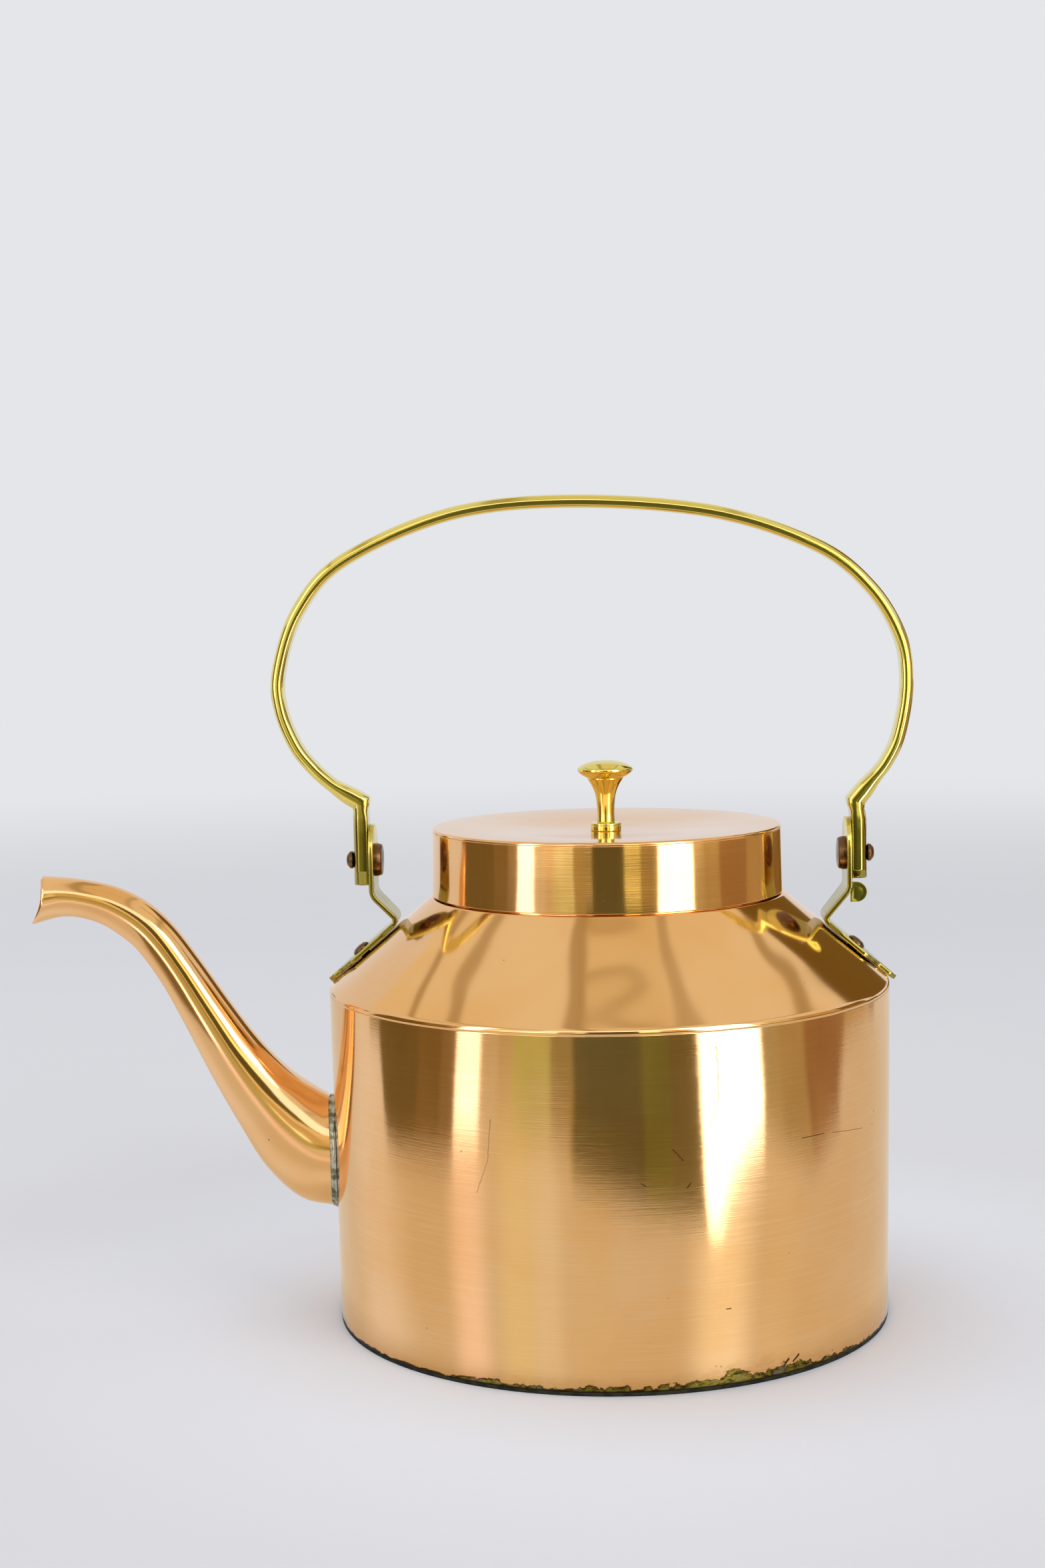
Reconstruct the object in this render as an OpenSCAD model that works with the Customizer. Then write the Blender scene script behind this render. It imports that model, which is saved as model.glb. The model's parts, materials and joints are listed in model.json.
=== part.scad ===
// Copper kettle with a lift-off lid and a swinging brass bail handle.
// Frame: millimetres, +Z up, origin at the centre of the base's underside.
// The spout points along -X and the handle stands in the XZ plane.

/* [Body] */
// Outer radius of the wall at the base
base_r = 90; // [80:1:100]
// Outer radius of the wall at the shoulder crease
crease_r = 91.3; // [91:0.1:94]
// Height of the shoulder crease
crease_z = 109; // [95:1:125]
// Radius of the bend at the shoulder crease
crease_bend = 2; // [1:0.5:3]
// Thickness of the copper sheet
sheet = 1; // [0.8:0.1:1.2]
// Thickness of the bottom disc
bottom_t = 1.2; // [1:0.1:1.6]
// Height of the hidden flanges inside the wall
flange_h = 6; // [4:1:8]

/* [Neck and lid] */
// Height of the flat ledge under the lid
ledge_z = 137.6; // [130:0.2:145]
// Outer radius of the ledge, where the sloping shoulder starts
ledge_r = 57.6; // [57.4:0.1:60]
// Outer radius of the neck collar
collar_r = 55.4; // [54:0.1:55.5]
// Outer radius of the lid at its lower edge
lid_r = 57.1; // [57:0.1:57.3]
// Outer radius of the lid at its top edge
lid_top_r = 56.8; // [56.7:0.1:57.1]
// Height of the lid
lid_h = 21.9; // [18:0.1:26]
// Gap between the lid and what it rests on
lid_gap = 0.4; // [0.3:0.1:0.6]
// How far the middle of the lid's top disc is dished below its rim
lid_dish = 2; // [0.5:0.1:2.4]

/* [Knob] */
// Height of the knob above the dished middle of the lid
knob_h = 23; // [20:0.2:26]
// Radius of the knob's head
knob_r = 9; // [7:0.5:11]
// Smallest radius of the knob's stem
knob_stem_r = 2.8; // [2.6:0.1:3.4]
// Radius of the turned collar under the knob
knob_collar_r = 5; // [4.8:0.1:6]
// Height of the turned collar under the knob
knob_collar_h = 2.6; // [2:0.1:3]
// Radius of the knob's tenon
tenon_r = 2; // [1.5:0.1:2.2]

/* [Handle] */
// Height of the pivots
pivot_z = 149.4; // [148:0.2:152]
// Distance from the origin to the inner face of the left leg
left_leg_x = 77.6; // [77:0.1:79]
// Distance from the origin to the inner face of the right leg
right_leg_x = 79.4; // [79:0.1:81]
// Thickness of the handle's forged legs
leg_t = 5.2; // [4.5:0.1:6]
// Thickness of the handle's loop above the knees
loop_t = 4.4; // [4:0.1:5]
// Height of the outer corner of the right knee
right_knee_z = 164.4; // [160:0.2:168]
// Height of the outer corner of the left knee
left_knee_z = 166.4; // [162:0.2:170]
// Rise from a knee's outer corner to its inner one
knee_t = 5; // [4:0.1:6]
// Width of the handle bar
bar_w = 10; // [8:0.5:12]
// Length of the legs below the pivots
leg_below = 8; // [7:0.5:8]

/* [Brackets and rivets] */
// Thickness of the bracket strip
strip = 1.5; // [1.2:0.1:1.8]
// Width of the bracket strip
strip_w = 18; // [16:1:20]
// Radius of the pivot rivets' shanks
pivot_r = 2.4; // [2:0.1:2.6]
// Radial running clearance of the pivots
pivot_play = 0.05; // [0.02:0.01:0.1]
// Radius of the pivot rivets' inner heads
pivot_head_r = 5.4; // [5:0.1:6]
// Radius of the foot rivets' shanks
foot_rivet_r = 1.8; // [1.5:0.1:2]
// Distance of the foot rivets from the kettle's axis
foot_rivet_at = 80; // [79:0.5:81]

/* [Spout] */
// Thickness of the spout's sheet
spout_sheet = 0.9; // [0.8:0.1:1.1]
// How far the mouth's sides are cut back between its two lips
mouth_dip = 2.4; // [1:0.2:3]
// Width of the solder band on the spout
solder_w = 3.6; // [2:0.2:5]

/* [Hidden] */

$fn = 96;
gap = 0.3;                                       // clear space between parts that move past each other
rivet_ease = 0.1;                                // air left under flat pieces on the curved shoulder
slope = (crease_z - ledge_z) / (crease_r - ledge_r);
slope_angle = atan(slope);
lid_bottom = ledge_z + lid_gap;
lid_top = lid_bottom + lid_h;
plate_under = lid_top - sheet;                   // underside of the lid's top disc
collar_top = plate_under - lid_gap;
knob_seat = lid_top - lid_dish;                  // top of the dish, where the knob's collar stands
dish_r = 8;                                      // flat middle of the dish
washer_t = 1;                                    // thickness of the washer under the lid
wall_top = crease_z - 1.5;
spout_open_w = 18;                               // opening in the wall behind the spout
spout_open_z = [41, 65];

function wall_r(z) = base_r + (crease_r - base_r) * z / crease_z;
function shoulder_z(r) = ledge_z + slope * (r - ledge_r);

// Catmull-Rom curve through a list of points, with steps points per span.
function spline_point(a, b, c, d, t) =
    ((2 * b) + (c - a) * t + (2 * a - 5 * b + 4 * c - d) * t * t + (3 * b - a - 3 * c + d) * t * t * t) / 2;
function spline(p, steps) = let (n = len(p) - 1) [
    for (i = [0 : n - 1], k = [0 : steps - 1])
        spline_point(i == 0 ? 2 * p[0] - p[1] : p[i - 1], p[i], p[i + 1],
            i == n - 1 ? 2 * p[n] - p[n - 1] : p[i + 2], k / steps),
    p[n]];

// Points of an arc from one angle to another.
function arc(c, r, from, to, n) = [for (i = [0 : n]) let (a = from + (to - from) * i / n)
    c + r * [cos(a), sin(a)]];

// ---------------------------------------------------------------- body

module bottom_plate() {
    color("peru")
    rotate_extrude()
    polygon([
        [0, 0], [base_r, 0], [wall_r(bottom_t), bottom_t], [wall_r(bottom_t) - sheet, bottom_t],
        [wall_r(bottom_t + flange_h) - sheet, bottom_t + flange_h],
        [wall_r(bottom_t + flange_h) - 2 * sheet, bottom_t + flange_h],
        [wall_r(bottom_t) - 2 * sheet, bottom_t], [0, bottom_t]]);
}

module body_wall() {
    color("darksalmon")
    difference() {
        rotate_extrude()
        polygon([
            [wall_r(bottom_t) - sheet, bottom_t], [wall_r(bottom_t), bottom_t],
            [wall_r(wall_top), wall_top], [wall_r(wall_top) - sheet, wall_top]]);
        spout_opening();
    }
}

// Upright slot with round ends, through the wall on the spout's side.
module spout_opening() {
    r = spout_open_w / 2;
    translate([-base_r, 0, 0])
    rotate([0, 90, 0])
    linear_extrude(20, center = true)
    union() {
        for (z = [spout_open_z[0] + r, spout_open_z[1] - r])
            translate([-z, 0])
            circle(r);
        translate([-spout_open_z[1] + r, -r])
        square([spout_open_z[1] - spout_open_z[0] - 2 * r, spout_open_w]);
    }
}

// Sloping shoulder with a bent edge, a ledge for the lid and a flange inside the wall.
module shoulder() {
    turn = 90 + slope_angle;                     // how far the sheet bends at the crease
    back = crease_bend * tan(turn / 2);
    bend_z = crease_z - back;
    centre = [wall_r(bend_z) - crease_bend, bend_z];
    low = wall_top - flange_h;
    color("sandybrown")
    difference() {
        rotate_extrude()
        polygon(concat(
            [[wall_r(low) - sheet, low], [wall_r(wall_top) - sheet, wall_top], [wall_r(wall_top), wall_top]],
            arc(centre, crease_bend, 0, turn, 6),
            [[ledge_r, ledge_z], [collar_r, ledge_z], [collar_r, ledge_z - sheet],
                [ledge_r - 0.4 * sheet, ledge_z - sheet]],
            arc(centre, crease_bend - sheet, turn, 0, 4),
            [[wall_r(wall_top) - 2 * sheet, wall_top - 1], [wall_r(low) - 2 * sheet, low]]));
        for (side = [-1, 1])
            foot_rivet_shank(side, 6);
    }
}

module neck_collar() {
    color("sandybrown")
    difference() {
        translate([0, 0, ledge_z - 3.6]) cylinder(h = collar_top - ledge_z + 3.6, r = collar_r);
        translate([0, 0, ledge_z - 5]) cylinder(h = 40, r = collar_r - sheet);
    }
}

// Rings of tin solder in the corners where the sheets lap.
module bottom_solder() {
    z = bottom_t + flange_h;
    color("silver")
    rotate_extrude()
    polygon([[wall_r(z) - 2 * sheet, z], [wall_r(z) - sheet, z], [wall_r(z + 2) - sheet, z + 2]]);
}

module shoulder_solder() {
    z = wall_top - flange_h;
    color("silver")
    rotate_extrude()
    polygon([[wall_r(z) - 2 * sheet, z], [wall_r(z - 2) - sheet, z - 2], [wall_r(z) - sheet, z]]);
}

module neck_solder() {
    z = ledge_z - sheet;
    color("silver")
    rotate_extrude()
    polygon([[collar_r, z], [collar_r, z - 1.6], [collar_r + 1.6, z]]);
}

// ---------------------------------------------------------------- spout

// Stations along the spout: top edge x and z, bottom edge x and z, width.
spout_stations = [
    [-90, 70, -90, 34, 29],
    [-92.5, 71, -103, 37, 28],
    [-98, 74.4, -114.4, 47.6, 25],
    [-106.6, 80.6, -122.9, 61.6, 21.5],
    [-116.3, 90.8, -131.7, 77.8, 18.5],
    [-125.8, 103.8, -139.6, 94, 16.5],
    [-135.2, 117.6, -147.4, 109, 15.2],
    [-143.6, 129, -154.6, 119.6, 14.6],
    [-151.6, 136.4, -159.8, 124.6, 14.2],
    [-161.2, 141.4, -166.4, 129, 14],
    [-171, 143.9, -173.2, 131.4, 14],
    [-178.6, 145, -180.2, 131.9, 14.2],
    [-185.9, 145.6, -189.9, 129.6, 15]];
section_sides = 24;

// Half-width of the spout's section against angle: 0 at the top, 180 at the bottom.
// The section is egg-shaped, fullest above its middle.
function egg(a) = sin(a) * (1 + 0.16 * cos(a));

// A point of a section: angle a, inset by t, on a wall-hugging base ring when at_wall is set.
function section_point(s, a, t, at_wall, at_mouth) = let (
    top = [s[0], s[1]],
    low = [s[2], s[3]],
    mid = (top + low) / 2,
    half = norm(top - low) / 2,
    up = (top - low) / (2 * half),
    y = (s[4] / 2 - t) * egg(a),
    p = mid + up * (half - t) * cos(a),
    dip = at_mouth ? mouth_dip * pow(sin(a), 2) : 0)
    at_wall ? [-sqrt(pow(wall_r(p[1]), 2) - y * y), y, p[1]] : [p[0] + dip, y, p[1]];

function ring(s, t, at_wall, at_mouth) =
    [for (k = [0 : section_sides - 1]) section_point(s, 360 * k / section_sides, t, at_wall, at_mouth)];

module spout_tube() {
    rows = spline(spout_stations, 2);
    n = len(rows);
    m = section_sides;
    outer = [for (i = [0 : n - 1]) each ring(rows[i], 0, i == 0, i == n - 1)];
    inner = [for (i = [0 : n - 1]) each ring(rows[i], spout_sheet, i == 0, i == n - 1)];
    skins = [for (i = [0 : n - 2], k = [0 : m - 1]) let (
        a = i * m + k,
        b = i * m + (k + 1) % m,
        c = a + m,
        d = b + m,
        o = n * m) each [[a, c, b], [b, c, d], [o + a, o + b, o + c], [o + b, o + d, o + c]]];
    rims = [for (k = [0 : m - 1]) let (
        a = k,
        b = (k + 1) % m,
        e = (n - 1) * m,
        o = n * m) each [[a, b, o + a], [b, o + b, o + a], [e + a, o + e + a, e + b],
            [e + b, o + e + a, o + e + b]]];
    color("darksalmon")
    polyhedron(concat(outer, inner), concat(skins, rims));
}

// The point w from the wall on the spout's surface, along the line of points k of its rings.
function along(rings, k, w, i = 0) = let (
    a = rings[i][k],
    b = rings[i + 1][k],
    start = rings[0][k][0])
    start - b[0] >= w ? a + (b - a) * (start - w - a[0]) / (b[0] - a[0]) : along(rings, k, w, i + 1);

// Band of solder wrapped round the spout's root and wiped onto the wall.
module spout_solder() {
    m = section_sides;
    air = 0.12;
    lift = 0.5;
    rows = spline(spout_stations, 2);
    root = rows[0];
    rings = [for (i = [0 : 8]) ring(rows[i], -air, i == 0, false)];
    foot = ring(root + [0, 1.6, 0, -1.6, 3.2], 0, true, false);
    below = [for (k = [0 : m - 1]) along(rings, k, solder_w)];
    crest = [for (k = [0 : m - 1]) below[k] + lift * [0, egg(360 * k / m), cos(360 * k / m)]];
    color("gray")
    polyhedron(
        concat(rings[0], foot, crest, below),
        [for (k = [0 : m - 1], j = [0 : 3]) let (
            a = j * m + k,
            b = j * m + (k + 1) % m,
            c = (j + 1) % 4 * m + k,
            d = (j + 1) % 4 * m + (k + 1) % m) each [[a, b, c], [b, d, c]]]);
}

// ---------------------------------------------------------------- lid and knob

// Top disc of the lid: a flat rim round a shallow dish.
module lid_plate() {
    rim = 5;
    color("sandybrown")
    rotate_extrude()
    polygon([[tenon_r, knob_seat - sheet], [dish_r, knob_seat - sheet], [lid_top_r - rim, plate_under],
        [lid_top_r, plate_under], [lid_top_r, lid_top], [lid_top_r - rim, lid_top], [dish_r, knob_seat],
        [tenon_r, knob_seat]]);
}

module lid_skirt() {
    skin = 0.9;
    color("darksalmon")
    rotate_extrude()
    polygon([[lid_r - skin, lid_bottom], [lid_r, lid_bottom],
        [lid_top_r, plate_under], [lid_top_r - skin, plate_under]]);
}

// Turned head and trumpet stem; the tenon runs through the lid and is peened over a washer.
module knob() {
    z0 = knob_seat + knob_collar_h;
    top = knob_seat + knob_h;
    peen_z = knob_seat - sheet - washer_t;
    color("gold")
    rotate_extrude()
    polygon(concat(
        [[0, peen_z - 1.4], [2.6, peen_z - 1.4], [3.4, peen_z - 0.6], [3.4, peen_z], [tenon_r, peen_z],
            [tenon_r, z0]],
        spline([[knob_stem_r + 0.1, z0], [knob_stem_r, z0 + 4], [knob_stem_r + 0.5, z0 + 9],
            [knob_stem_r + 1.7, top - 8.2], [knob_stem_r + 3.2, top - 6]], 4),
        spline([[knob_stem_r + 4.6, top - 5], [knob_r, top - 3.2], [knob_r - 0.5, top - 2.3],
            [knob_r * 0.7, top - 1], [knob_r * 0.35, top - 0.2], [0, top]], 3)));
}

module knob_collar() {
    bead = 0.6;
    color("goldenrod")
    rotate_extrude()
    polygon([[tenon_r, knob_seat], [knob_collar_r - bead, knob_seat], [knob_collar_r, knob_seat + bead],
        [knob_collar_r, knob_seat + knob_collar_h - bead],
        [knob_collar_r - bead, knob_seat + knob_collar_h], [tenon_r, knob_seat + knob_collar_h]]);
}

module knob_washer() {
    color("goldenrod")
    translate([0, 0, knob_seat - sheet - washer_t])
    difference() {
        cylinder(h = washer_t, r = 6);
        translate([0, 0, -1]) cylinder(h = washer_t + 2, r = tenon_r);
    }
}

// ---------------------------------------------------------------- handle

// Middle line of the loop, from the right knee over the top to the left knee.
loop_points = [[86, 172.4], [91.2, 179], [95.3, 188], [97.9, 204], [95.9, 219.5], [86.2, 235.8], [69, 249.4],
    [35.5, 260.8], [-10, 264.9], [-49, 261.5], [-84, 247.2], [-99.2, 231], [-105.9, 212], [-105.7, 199.5],
    [-101.3, 187.6], [-95.6, 179.9], [-88.6, 173.6]];

function left_normal(p, i) = let (
    d = p[min(i + 1, len(p) - 1)] - p[max(i - 1, 0)],
    u = d / norm(d)) [-u[1], u[0]];

module handle() {
    mid = spline(loop_points, 5);
    n = len(mid);
    legs_low = pivot_z - leg_below;
    inner = [for (i = [n - 1 : -1 : 0]) mid[i] + left_normal(mid, i) * loop_t / 2];
    outer = [for (i = [0 : n - 1]) mid[i] - left_normal(mid, i) * loop_t / 2];
    color("darkkhaki")
    difference() {
        rotate([90, 0, 0])
        linear_extrude(bar_w, center = true)
        polygon(concat(
            [[right_leg_x + leg_t, legs_low], [right_leg_x + leg_t, right_knee_z]],
            outer,
            [[-left_leg_x - leg_t, left_knee_z], [-left_leg_x - leg_t, legs_low], [-left_leg_x, legs_low],
                [-left_leg_x, left_knee_z + knee_t]],
            inner,
            [[right_leg_x - 1, right_knee_z + knee_t], [right_leg_x, 160], [right_leg_x, legs_low]]));
        translate([0, 0, pivot_z])
        rotate([0, 90, 0])
        cylinder(h = 240, r = pivot_r + pivot_play, center = true);
    }
}

// ---------------------------------------------------------------- brackets and rivets

// One bracket on the +X side: an upright plate beside the leg, an S-bend and a foot on the shoulder.
// plate_x is the plate's outer face; elbow is where the foot leaves the shoulder, and foot_end how far
// the tongue reaches, both from the axis.
module bracket(plate_x, elbow, foot_end) {
    seat = 0.05;                                 // the foot's air gap over the shoulder
    normal = [-sin(slope_angle), cos(slope_angle)];
    on_slope = function(r, up) [r, shoulder_z(r)] + normal * up;
    plate_in = plate_x - strip;
    tongue = 3;
    difference() {
        intersection() {
            rotate([90, 0, 0])
            linear_extrude(strip_w, center = true)
            polygon([
                [plate_in, 139.8], [plate_in - 0.8, 137.6], on_slope(elbow - 1.4, 2.4),
                on_slope(elbow - 1.8, 1.2), on_slope(elbow - 0.6, seat), on_slope(foot_end, seat),
                on_slope(foot_end, seat + strip), on_slope(elbow + 0.6, seat + strip),
                on_slope(elbow + 0.1, seat + strip + 0.6), [plate_x - 0.6, 136.2], [plate_x, 138.6],
                [plate_x, 159], [plate_x - 0.7, 161], [plate_in - 0.6, 161.4], [plate_in, 159]]);
            union() {
                translate([60, -strip_w / 2, 138]) cube([30, strip_w, pivot_z - 138 + 3]);
                translate([60, 0, pivot_z + 3])
                rotate([0, 90, 0])
                cylinder(h = 30, r = strip_w / 2);
                linear_extrude(139)
                polygon([[60, -strip_w / 2 + 2], [elbow + 2, -strip_w / 2 + 1], [elbow + 6, -strip_w / 2],
                    [83, -strip_w / 2], [86.6, -tongue - 2], [87.6, -tongue], [foot_end - 1, -tongue],
                    [foot_end + 2, -1.4], [foot_end + 2, 1.4], [foot_end - 1, tongue], [87.6, tongue],
                    [86.6, tongue + 2], [83, strip_w / 2], [elbow + 6, strip_w / 2],
                    [elbow + 2, strip_w / 2 - 1], [60, strip_w / 2 - 2]]);
            }
        }
        foot_rivet_shank(1, 6);
        translate([0, 0, pivot_z])
        rotate([0, 90, 0])
        cylinder(h = 120, r = pivot_r);
    }
}

// Rounded ear turned out from the front edge of the right bracket, below the leg.
module ear() {
    translate([right_leg_x - gap - 0.2, -strip_w / 2, 137.6])
    rotate([-90, 0, 0])
    linear_extrude(strip)
    intersection() {
        union() {
            translate([1.8, 0]) circle(3.2);
            translate([0, -3.2]) square([1.8, 6.4]);
        }
        translate([0, -4]) square([8, 8]);
    }
}

module bracket_left() {
    color("olive")
    rotate([0, 0, 180])
    bracket(left_leg_x - gap, 67.3, 90);
}

module bracket_right() {
    color("olive")
    union() {
        bracket(right_leg_x - gap, 69.2, 92);
        ear();
    }
}

// A cylinder along the foot rivet's axis, square to the shoulder; length each way from the surface.
module foot_rivet_shank(side, reach) {
    foot_rivet_place(side)
    translate([0, 0, -reach])
    cylinder(h = 2 * reach, r = foot_rivet_r);
}

module foot_rivet_place(side) {
    translate([side * foot_rivet_at, 0, shoulder_z(foot_rivet_at)])
    rotate([0, -side * slope_angle, 0])
    children();
}

// Low domed head outside, shank through foot, shoulder and rove, peened inside.
module foot_rivet(side) {
    out = strip + rivet_ease;
    inside = -sheet - rivet_ease - 0.8;
    color("peru")
    foot_rivet_place(side)
    rotate_extrude()
    polygon([[0, inside - 1], [1.6, inside - 1], [2.6, inside - 0.4], [2.6, inside], [foot_rivet_r, inside],
        [foot_rivet_r, out], [3.1, out], [2.9, out + 0.7], [2.1, out + 1.4], [0, out + 1.7]]);
}

module foot_rove(side) {
    color("peru")
    foot_rivet_place(side)
    translate([0, 0, -sheet - rivet_ease - 0.8])
    difference() {
        cylinder(h = 0.8, r = 4);
        translate([0, 0, -1]) cylinder(h = 3, r = foot_rivet_r);
    }
}

module foot_rivet_left() { foot_rivet(-1); }
module foot_rivet_right() { foot_rivet(1); }
module foot_rove_left() { foot_rove(-1); }
module foot_rove_right() { foot_rove(1); }

// Pivot rivet on the +X side: broad head inside the plate, shank through plate and leg, small peened end.
module pivot_rivet(leg_x) {
    plate_in = leg_x - gap - strip;
    leg_out = leg_x + leg_t;
    head_t = 2.5;
    color("peru")
    translate([0, 0, pivot_z])
    rotate([0, 90, 0])
    rotate_extrude()
    polygon([[0, plate_in - head_t], [pivot_head_r - 0.5, plate_in - head_t],
        [pivot_head_r, plate_in - head_t + 0.5], [pivot_head_r, plate_in], [pivot_r, plate_in],
        [pivot_r, leg_out + gap], [2.9, leg_out + gap], [2.7, leg_out + gap + 1.2],
        [1.8, leg_out + gap + 1.9], [0, leg_out + gap + 2.1]]);
}

module pivot_rivet_left() { rotate([0, 0, 180]) pivot_rivet(left_leg_x); }
module pivot_rivet_right() { pivot_rivet(right_leg_x); }

bottom_plate();
body_wall();
shoulder();
neck_collar();
bottom_solder();
shoulder_solder();
neck_solder();
spout_tube();
spout_solder();
lid_plate();
lid_skirt();
knob();
knob_collar();
knob_washer();
handle();
bracket_left();
bracket_right();
foot_rivet_left();
foot_rivet_right();
foot_rove_left();
foot_rove_right();
pivot_rivet_left();
pivot_rivet_right();
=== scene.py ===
"""Looks of the copper kettle: smooth copper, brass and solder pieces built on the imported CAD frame."""
import json
import math

import bmesh
import bpy
from mathutils import Matrix, Vector, noise


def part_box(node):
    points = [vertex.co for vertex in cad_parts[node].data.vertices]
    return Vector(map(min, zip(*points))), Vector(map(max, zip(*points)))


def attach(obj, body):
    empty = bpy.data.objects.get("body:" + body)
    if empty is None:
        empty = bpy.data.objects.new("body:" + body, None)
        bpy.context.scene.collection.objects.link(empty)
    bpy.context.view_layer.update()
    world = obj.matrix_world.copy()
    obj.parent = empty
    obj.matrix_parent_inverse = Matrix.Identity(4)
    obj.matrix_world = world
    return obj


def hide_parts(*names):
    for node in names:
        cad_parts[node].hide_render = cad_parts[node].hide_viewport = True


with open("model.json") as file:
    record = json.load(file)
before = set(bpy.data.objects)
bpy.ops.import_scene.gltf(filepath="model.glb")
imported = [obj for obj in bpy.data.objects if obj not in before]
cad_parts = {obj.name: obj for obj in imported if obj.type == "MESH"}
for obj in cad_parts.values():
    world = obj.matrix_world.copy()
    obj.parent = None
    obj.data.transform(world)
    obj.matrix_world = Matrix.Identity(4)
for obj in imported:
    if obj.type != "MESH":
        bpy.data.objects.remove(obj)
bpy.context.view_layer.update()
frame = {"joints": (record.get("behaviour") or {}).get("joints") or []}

MM = 0.001  # sizes are in millimetres, and meshes are scaled by this; materials and the stage are in metres


def box_mm(node):
    """Lowest and highest corner of a CAD node, in millimetres."""
    low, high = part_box(node)
    return low / MM, high / MM


# ---------------------------------------------------------------- driving sizes, read from the frame

BOTTOM_T = box_mm("body_wall")[0].z
BASE_R = box_mm("bottom_plate")[1].x
FLANGE_TOP = box_mm("bottom_plate")[1].z
WALL_TOP = box_mm("body_wall")[1].z
WALL_TOP_R = box_mm("body_wall")[1].x
SHEET = 1.0
SHOULDER_LOW = box_mm("shoulder")[0].z
LEDGE_Z = box_mm("shoulder")[1].z
COLLAR_R = box_mm("neck_collar")[1].x
COLLAR_LOW = box_mm("neck_collar")[0].z
COLLAR_TOP = box_mm("neck_collar")[1].z
LEDGE_R = COLLAR_R + 2.2
CREASE_Z = WALL_TOP + 1.5
CREASE_BEND = 2.0
LID_R = box_mm("lid_skirt")[1].x
LID_LOW = box_mm("lid_skirt")[0].z
LID_TOP_R = box_mm("lid_plate")[1].x
PLATE_LOW = box_mm("lid_skirt")[1].z
LID_TOP = box_mm("lid_plate")[1].z
KNOB_LOW = box_mm("knob_collar")[1].z
KNOB_TOP = box_mm("knob")[1].z
KNOB_R = box_mm("knob")[1].x
KNOB_COLLAR_R = box_mm("knob_collar")[1].x
KNOB_SEAT = box_mm("knob_collar")[0].z
LID_DISH = LID_TOP - KNOB_SEAT
TENON_R = 2.0
PIVOT_Z = frame["joints"][1]["pos_m"][2] / MM
LEG_LOW = box_mm("handle")[0].z
BAR_W = 2 * box_mm("handle")[1].y
LEG_T = 5.2
LOOP_T = 4.4
STRIP = 1.5
STRIP_W = 2 * box_mm("bracket_left")[1].y
LEG_GAP = 0.3
HEAD_T = 2.5
KNEE_SWELL = 0.4
ELBOW = {1: 69.5, -1: 67.6}
# Inner faces of the handle's legs, from the pivot rivets' inner ends.
LEG_X = {1: box_mm("pivot_rivet_right")[0].x + HEAD_T + STRIP + LEG_GAP,
         -1: -box_mm("pivot_rivet_left")[1].x + HEAD_T + STRIP + LEG_GAP}
FOOT_END = {1: box_mm("bracket_right")[1].x - 1, -1: -box_mm("bracket_left")[0].x - 1}
FOOT_RIVET_AT = 80.0
FOOT_RIVET_R = 1.8
PIVOT_R = 2.4


def wall_r(z):
    """Outer radius of the wall at height z."""
    return BASE_R + (WALL_TOP_R - BASE_R) * z / WALL_TOP


CREASE_R = wall_r(CREASE_Z)
SLOPE = (CREASE_Z - LEDGE_Z) / (CREASE_R - LEDGE_R)
SLOPE_ANGLE = math.atan(SLOPE)


def on_slope(r, up):
    """A point (r, z) at height up over the shoulder, square to it."""
    return (r - math.sin(SLOPE_ANGLE) * up, LEDGE_Z + SLOPE * (r - LEDGE_R) + math.cos(SLOPE_ANGLE) * up)


# ---------------------------------------------------------------- outlines and curves

def fillet(points, closed=True, steps=5):
    """Rounds the corners of a 2-D outline whose points are (a, b) or (a, b, radius)."""
    done = []
    count = len(points)
    for i, point in enumerate(points):
        here = Vector(point[:2])
        radius = point[2] if len(point) > 2 else 0
        if radius == 0 or (not closed and i in (0, count - 1)):
            done.append(tuple(here))
            continue
        before = (Vector(points[i - 1][:2]) - here).normalized()
        after = (Vector(points[(i + 1) % count][:2]) - here).normalized()
        half = before.angle(after) / 2
        reach = radius / math.tan(half)
        centre = here + (before + after).normalized() * radius / math.sin(half)
        start = here + before * reach - centre
        end = here + after * reach - centre
        turn = start.angle_signed(end)
        for k in range(steps + 1):
            c, s = math.cos(-turn * k / steps), math.sin(-turn * k / steps)
            done.append((centre.x + c * start.x - s * start.y, centre.y + s * start.x + c * start.y))
    return done


def dense(points, longest, closed=True, hold=0.25):
    """Splits long segments evenly, with a holding point close to each end."""
    done = []
    last = len(points) if closed else len(points) - 1
    for i in range(last):
        a, b = Vector(points[i]), Vector(points[(i + 1) % len(points)])
        length = (b - a).length
        done.append(tuple(a))
        if length > 4 * hold:
            parts = max(1, math.ceil((length - 2 * hold) / longest))
            done += [tuple(a.lerp(b, (hold + (length - 2 * hold) * k / parts) / length))
                     for k in range(parts + 1)]
    if not closed:
        done.append(tuple(points[-1]))
    return done


def spline(points, steps):
    """Catmull-Rom curve through tuples of any length."""
    rows = [Vector(p) for p in points]
    rows = [2 * rows[0] - rows[1]] + rows + [2 * rows[-1] - rows[-2]]
    done = []
    for i in range(1, len(rows) - 2):
        a, b, c, d = rows[i - 1:i + 3]
        for k in range(steps):
            t = k / steps
            done.append(((2 * b) + (c - a) * t + (2 * a - 5 * b + 4 * c - d) * t * t
                         + (3 * b - a - 3 * c + d) * t * t * t) / 2)
    done.append(rows[-2])
    return done


def smoothstep(low, high, value):
    t = min(1, max(0, (value - low) / (high - low)))
    return t * t * (3 - 2 * t)


# ---------------------------------------------------------------- mesh builders

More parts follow.
